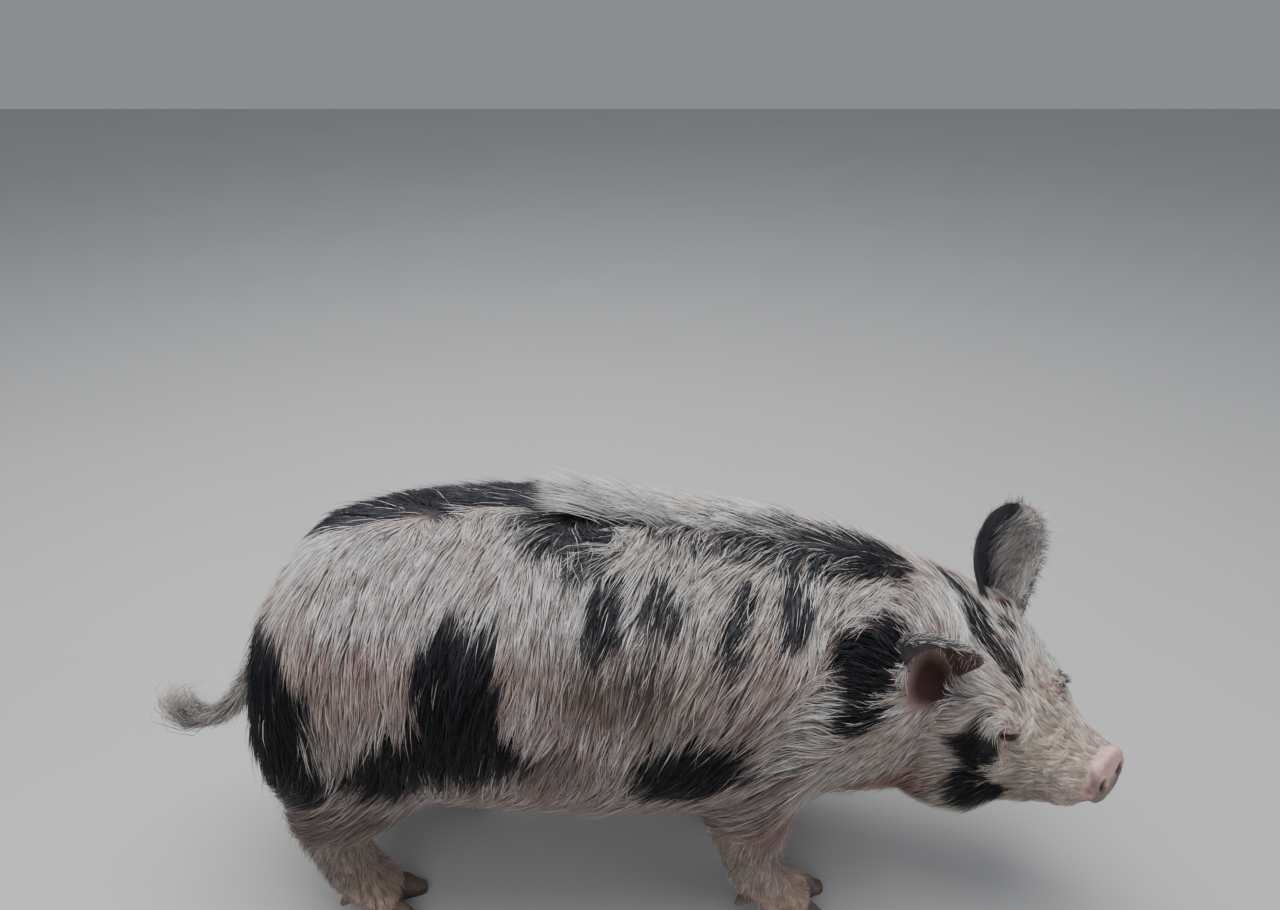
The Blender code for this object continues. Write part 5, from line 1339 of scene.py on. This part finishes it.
count, lashes = 380, 70
is_lash = np.arange(count) < lashes
for name, side in SIDES.items():
    centre, turn = eye_place(side)
    across = np.where(is_lash, chance.uniform(-0.009, 0.009, count), chance.uniform(-0.024, 0.024, count))
    rise_at = np.where(is_lash, 0.0050, chance.uniform(0.016, 0.038, count))
    start = centre + turn[:, 0] * 0.016 + across[:, None] * turn[:, 1] + rise_at[:, None] * turn[:, 2]
    brow_roots, brow_normals = on_skin(start)
    brow_long = np.where(is_lash, 0.0080, 0.023) * spread(count, 0.22)
    brow_lines, ups = combed(brow_roots, brow_normals, head_lie, brow_long, 0.0060 * spread(count, 0.35),
                             0.002 * chance.normal(size=count), 0.001)
    way = turn[:, 0] - turn[:, 2] * 0.35 + np.outer(across / 0.030, turn[:, 1])
    way = unit(way + 0.15 * chance.normal(size=(count, 3)))
    brow_lines[:lashes] = straight(brow_roots, way, brow_long)[:lashes]
    tip = mixed(HAIR_STRAW, HAIR_WHITE, chance.random(count) ** 0.7)
    tip = np.where((is_lash | (chance.random(count) < 0.12))[:, None], HAIR_BLACK, tip)
    # Roots darker than tips: painted shade at the skin.
    bristles("coat_brow_" + name, brow_lines, ups, np.where(is_lash, 0.00045, 0.00075), (tip * 0.7, tip),
             spread_out(head_bake(brow_roots)))


# The coat of the legs. Bristles 14 mm long over the claws and 34 mm at the elbow, which lie down the leg,
# sparser on its inner side.

leg_weight = (1 - above_legs) * trunk_share * smooth_step(0.016, 0.034, face_middles[:, 2])
faces_out = face_normals[:, 1] * np.sign(face_middles[:, 1]) > -0.2
leg_weight = leg_weight * (np.abs(face_middles[:, 1]) > 0.055) * (0.35 + 0.65 * faces_out)


def leg_lie(place):
    """Down the leg and a little back, wandering."""
    return np.array([-0.25, 0.0, -1.0]) + 0.28 * drift(place, 0.020, 101)


LEG_STRANDS = 15000
roots, root_normals = sown(leg_weight, LEG_STRANDS)
long = np.interp(roots[:, 2], [0.02, 0.05, 0.10, 0.20], [0.014, 0.018, 0.019, 0.034])
long = long * spread(LEG_STRANDS, 0.25)
lines, ups = combed(roots, root_normals, leg_lie, long, long * 0.20 * spread(LEG_STRANDS, 0.4),
                    0.10 * long * chance.normal(size=LEG_STRANDS), 0.001)
lines[:, :, 2] = np.maximum(lines[:, :, 2], 0.002)
width = np.interp(roots[:, 2], [0.03, 0.18], [0.00075, 0.0009]) * spread(LEG_STRANDS, 0.2)
bristles("coat_legs", lines, ups, width, hair_colours(lines, chance.normal(size=LEG_STRANDS)),
         spread_out(np.stack([roots[:, 0] + 0.3 * roots[:, 1], roots[:, 2]], axis=1)), rows=SHORT)


# Ear hair. Short down over the back of each ear, white bristles along its rear edge, and on the upright
# ear long pale ones that stream up the inside from its root.

# For each ear: how many hairs on the back, the edge and the inside, how far up the edge ones reach, the
# share of dark ones on the back, and which way the edge ones hang, in the animal's frame
EAR_HAIRS = {"right": ((1000, 320, 60), 0.50, 0.50, (-0.9, 0.0, -0.55)),
             "left": ((420, 420, 1500), 0.97, 0.8, (0.0, 0.0, 0.0))}
BACK_LENGTH, EDGE_LENGTH, INNER_LENGTH = 0.014, 0.024, 0.034
for name, side in SIDES.items():
    counts, edge_up_to, back_dark, sag = EAR_HAIRS[name]
    count = sum(counts)
    kind = np.repeat([0, 1, 2], counts)
    is_inner = kind == 2
    along = np.choose(kind, [np.sqrt(chance.uniform(0.03, 1.0, count)),
                             chance.uniform(0.10, edge_up_to, count), chance.uniform(0.10, 0.80, count)])
    across = np.choose(kind, [chance.uniform(-0.9, 0.9, count), side * chance.uniform(0.93, 1.0, count),
                              1 - 1.35 * chance.random(count) ** 1.5])
    lowered = np.where(is_inner, -0.0045, 0.0)
    here, on_back = ear_sheet(name, along, across, lowered), ear_sheet(name, along, across)
    outside = unit(ear_sheet(name, along, across, 0.004) - on_back) * np.where(is_inner, -1, 1)[:, None]
    upward = unit(ear_sheet(name, np.minimum(along + 0.02, 1.02), across, lowered) - here)
    beside = unit(ear_sheet(name, along, across + 0.03 * side) - on_back)
    ways = np.choose(kind[:, None], [0.93 * upward + 0.30 * outside,
                                     0.45 * upward + 0.80 * beside + 0.15 * outside + np.array(sag),
                                     0.85 * upward + 0.40 * beside + 0.22 * outside])
    ear_long = np.choose(kind, [BACK_LENGTH, EDGE_LENGTH, INNER_LENGTH]) * spread(count, 0.25)
    hair = straight(here, unit(ways + 0.15 * chance.normal(size=(count, 3))), ear_long)
    droop = 0.12 * ear_long[:, None] * STRAND_AT**2 + 0.001 * (STRAND_AT == 0)
    hair = hair - outside[:, None] * droop[:, :, None]
    dark = chance.random(count) < np.choose(kind, [back_dark, 0.06, 0.02 + 0.25 * (across < 0.0)])
    tip = np.where(dark[:, None], HAIR_GREY * 0.5, mixed(HAIR_CREAM, HAIR_WHITE, chance.random(count)))
    # Roots darker than tips, a painted shade at the skin. The tips of the hairs inside the ears are lightened
    # by a third beyond their colour: painted light on the ears' insides.
    root = tip * np.where(is_inner, 0.95, 0.7)[:, None]
    tip = np.clip(tip * np.where(is_inner, 1.3, 1.0)[:, None], 0, 0.97)
    bristles("coat_ear_" + name, hair, np.repeat(outside[:, None], 4, axis=1),
             np.choose(kind, [0.0006, 0.0008, 0.0007]), (root, tip),
             np.stack([across / 2 + 0.5, along], axis=1), SHORT)


# The tail's hair. Short bristles down its length, and a loose pale tuft at the end that sweeps back and
# curls up at the tips.

count = 1800
tail_at = 5 * chance.uniform(0.05, 1.0, count) ** 0.75
tail_middle, tail_radius = along_tail(tail_at)
ahead_line = unit(along_tail(np.minimum(tail_at + 0.05, 5.0))[0] - along_tail(tail_at - 0.05)[0])
spin = chance.uniform(0, 2 * np.pi, count)
aside = unit(np.cross(ahead_line, [0.0, 1.0, 0.0]))
outside = np.cos(spin)[:, None] * aside + np.sin(spin)[:, None] * np.cross(ahead_line, aside)
tail_roots = tail_middle + outside * tail_radius * 0.9
tuft = smooth_step(3.0, 4.6, tail_at)
tail_long = (0.026 + 0.058 * tuft) * spread(count, 0.2)
way = unit(ahead_line + 0.28 * outside + 0.18 * chance.normal(size=(count, 3)))
hair = straight(tail_roots, way, tail_long)
curl = np.radians(np.interp(STRAND_AT, [0, 0.35, 1], [218, 178, 56])) + 0.25 * chance.normal(size=(count, 1))
steps = np.stack([np.cos(curl), 0 * curl + 0.10 * chance.normal(size=(count, 1)), np.sin(curl)], axis=2)
arc = np.cumsum(steps[:, 1:] * np.diff(STRAND_AT)[:, None] * tail_long[:, None, None], axis=1)
hair[:, 1:] = mixed(hair[:, 1:], tail_roots[:, None] + arc, np.broadcast_to(tuft[:, None], (count, 3)))
tip = mixed(HAIR_GREY * 2.0, HAIR_CREAM, chance.random(count) ** 0.4)
# Roots darker than tips: painted shade at the skin.
bristles("coat_tail", hair, np.repeat(outside[:, None], 4, axis=1), 0.0009 * spread(count, 0.2),
         (tip * 0.6, tip), spread_out(np.stack([spin, tail_at], axis=1)))


# Studio: a plain pale floor, soft light from above and the front, and the camera at a standing person's
# height, looking down at the sow's right side.

# Matt floor paint, a little cloudy.
floor_look, tree, shader = new_material("painted_floor", Roughness=0.7)
tree.links.new(ranged(tree, noise(tree, 3.0, 3.0), 0.52, 0.56, 0.0, 1.0), shader.inputs["Base Color"])
FLOOR_REACH = 6.0
floor_corners = FLOOR_REACH * np.array([[-1, -1, 0], [1, -1, 0], [1, 1, 0], [-1, 1, 0]])
floor = mesh_piece("studio_floor", floor_corners, np.array([[0, 1, 2, 3]]), floor_look)


def soft_light(name, at, aim, size, power):
    """A square light of that size, turned to face the aim."""
    lamp = bpy.data.lights.new(name, "AREA")
    lamp.size, lamp.energy = size, power
    made = bpy.data.objects.new(name, lamp)
    made.location = at
    made.rotation_euler = (Vector(aim) - Vector(at)).to_track_quat("-Z", "Y").to_euler()
    bpy.context.scene.collection.objects.link(made)


soft_light("overhead", (-0.3, 0.2, 2.6), (0, 0, 0.3), 2.2, 86)
soft_light("front", (-0.8, -2.6, 2.2), (0, 0, 0.3), 1.8, 17)
soft_light("side", (2.6, -1.2, 1.9), (0.1, 0, 0.3), 1.6, 10)
world = bpy.data.worlds.new("soft_sky")
world.use_nodes = True
world.node_tree.nodes["Background"].inputs["Color"].default_value = (0.78, 0.82, 0.88, 1.0)
world.node_tree.nodes["Background"].inputs["Strength"].default_value = 0.34
bpy.context.scene.world = world

camera_data = bpy.data.cameras.new("camera")
camera_data.lens, camera_data.sensor_width = 30.0, 36.0
camera = bpy.data.objects.new("camera", camera_data)
camera.location = (0.0255, -1.0495, 1.12)
CAMERA_DOWN = 27
camera.rotation_euler = Euler((math.radians(90 - CAMERA_DOWN), 0, 0))
bpy.context.scene.collection.objects.link(camera)
bpy.context.scene.camera = camera
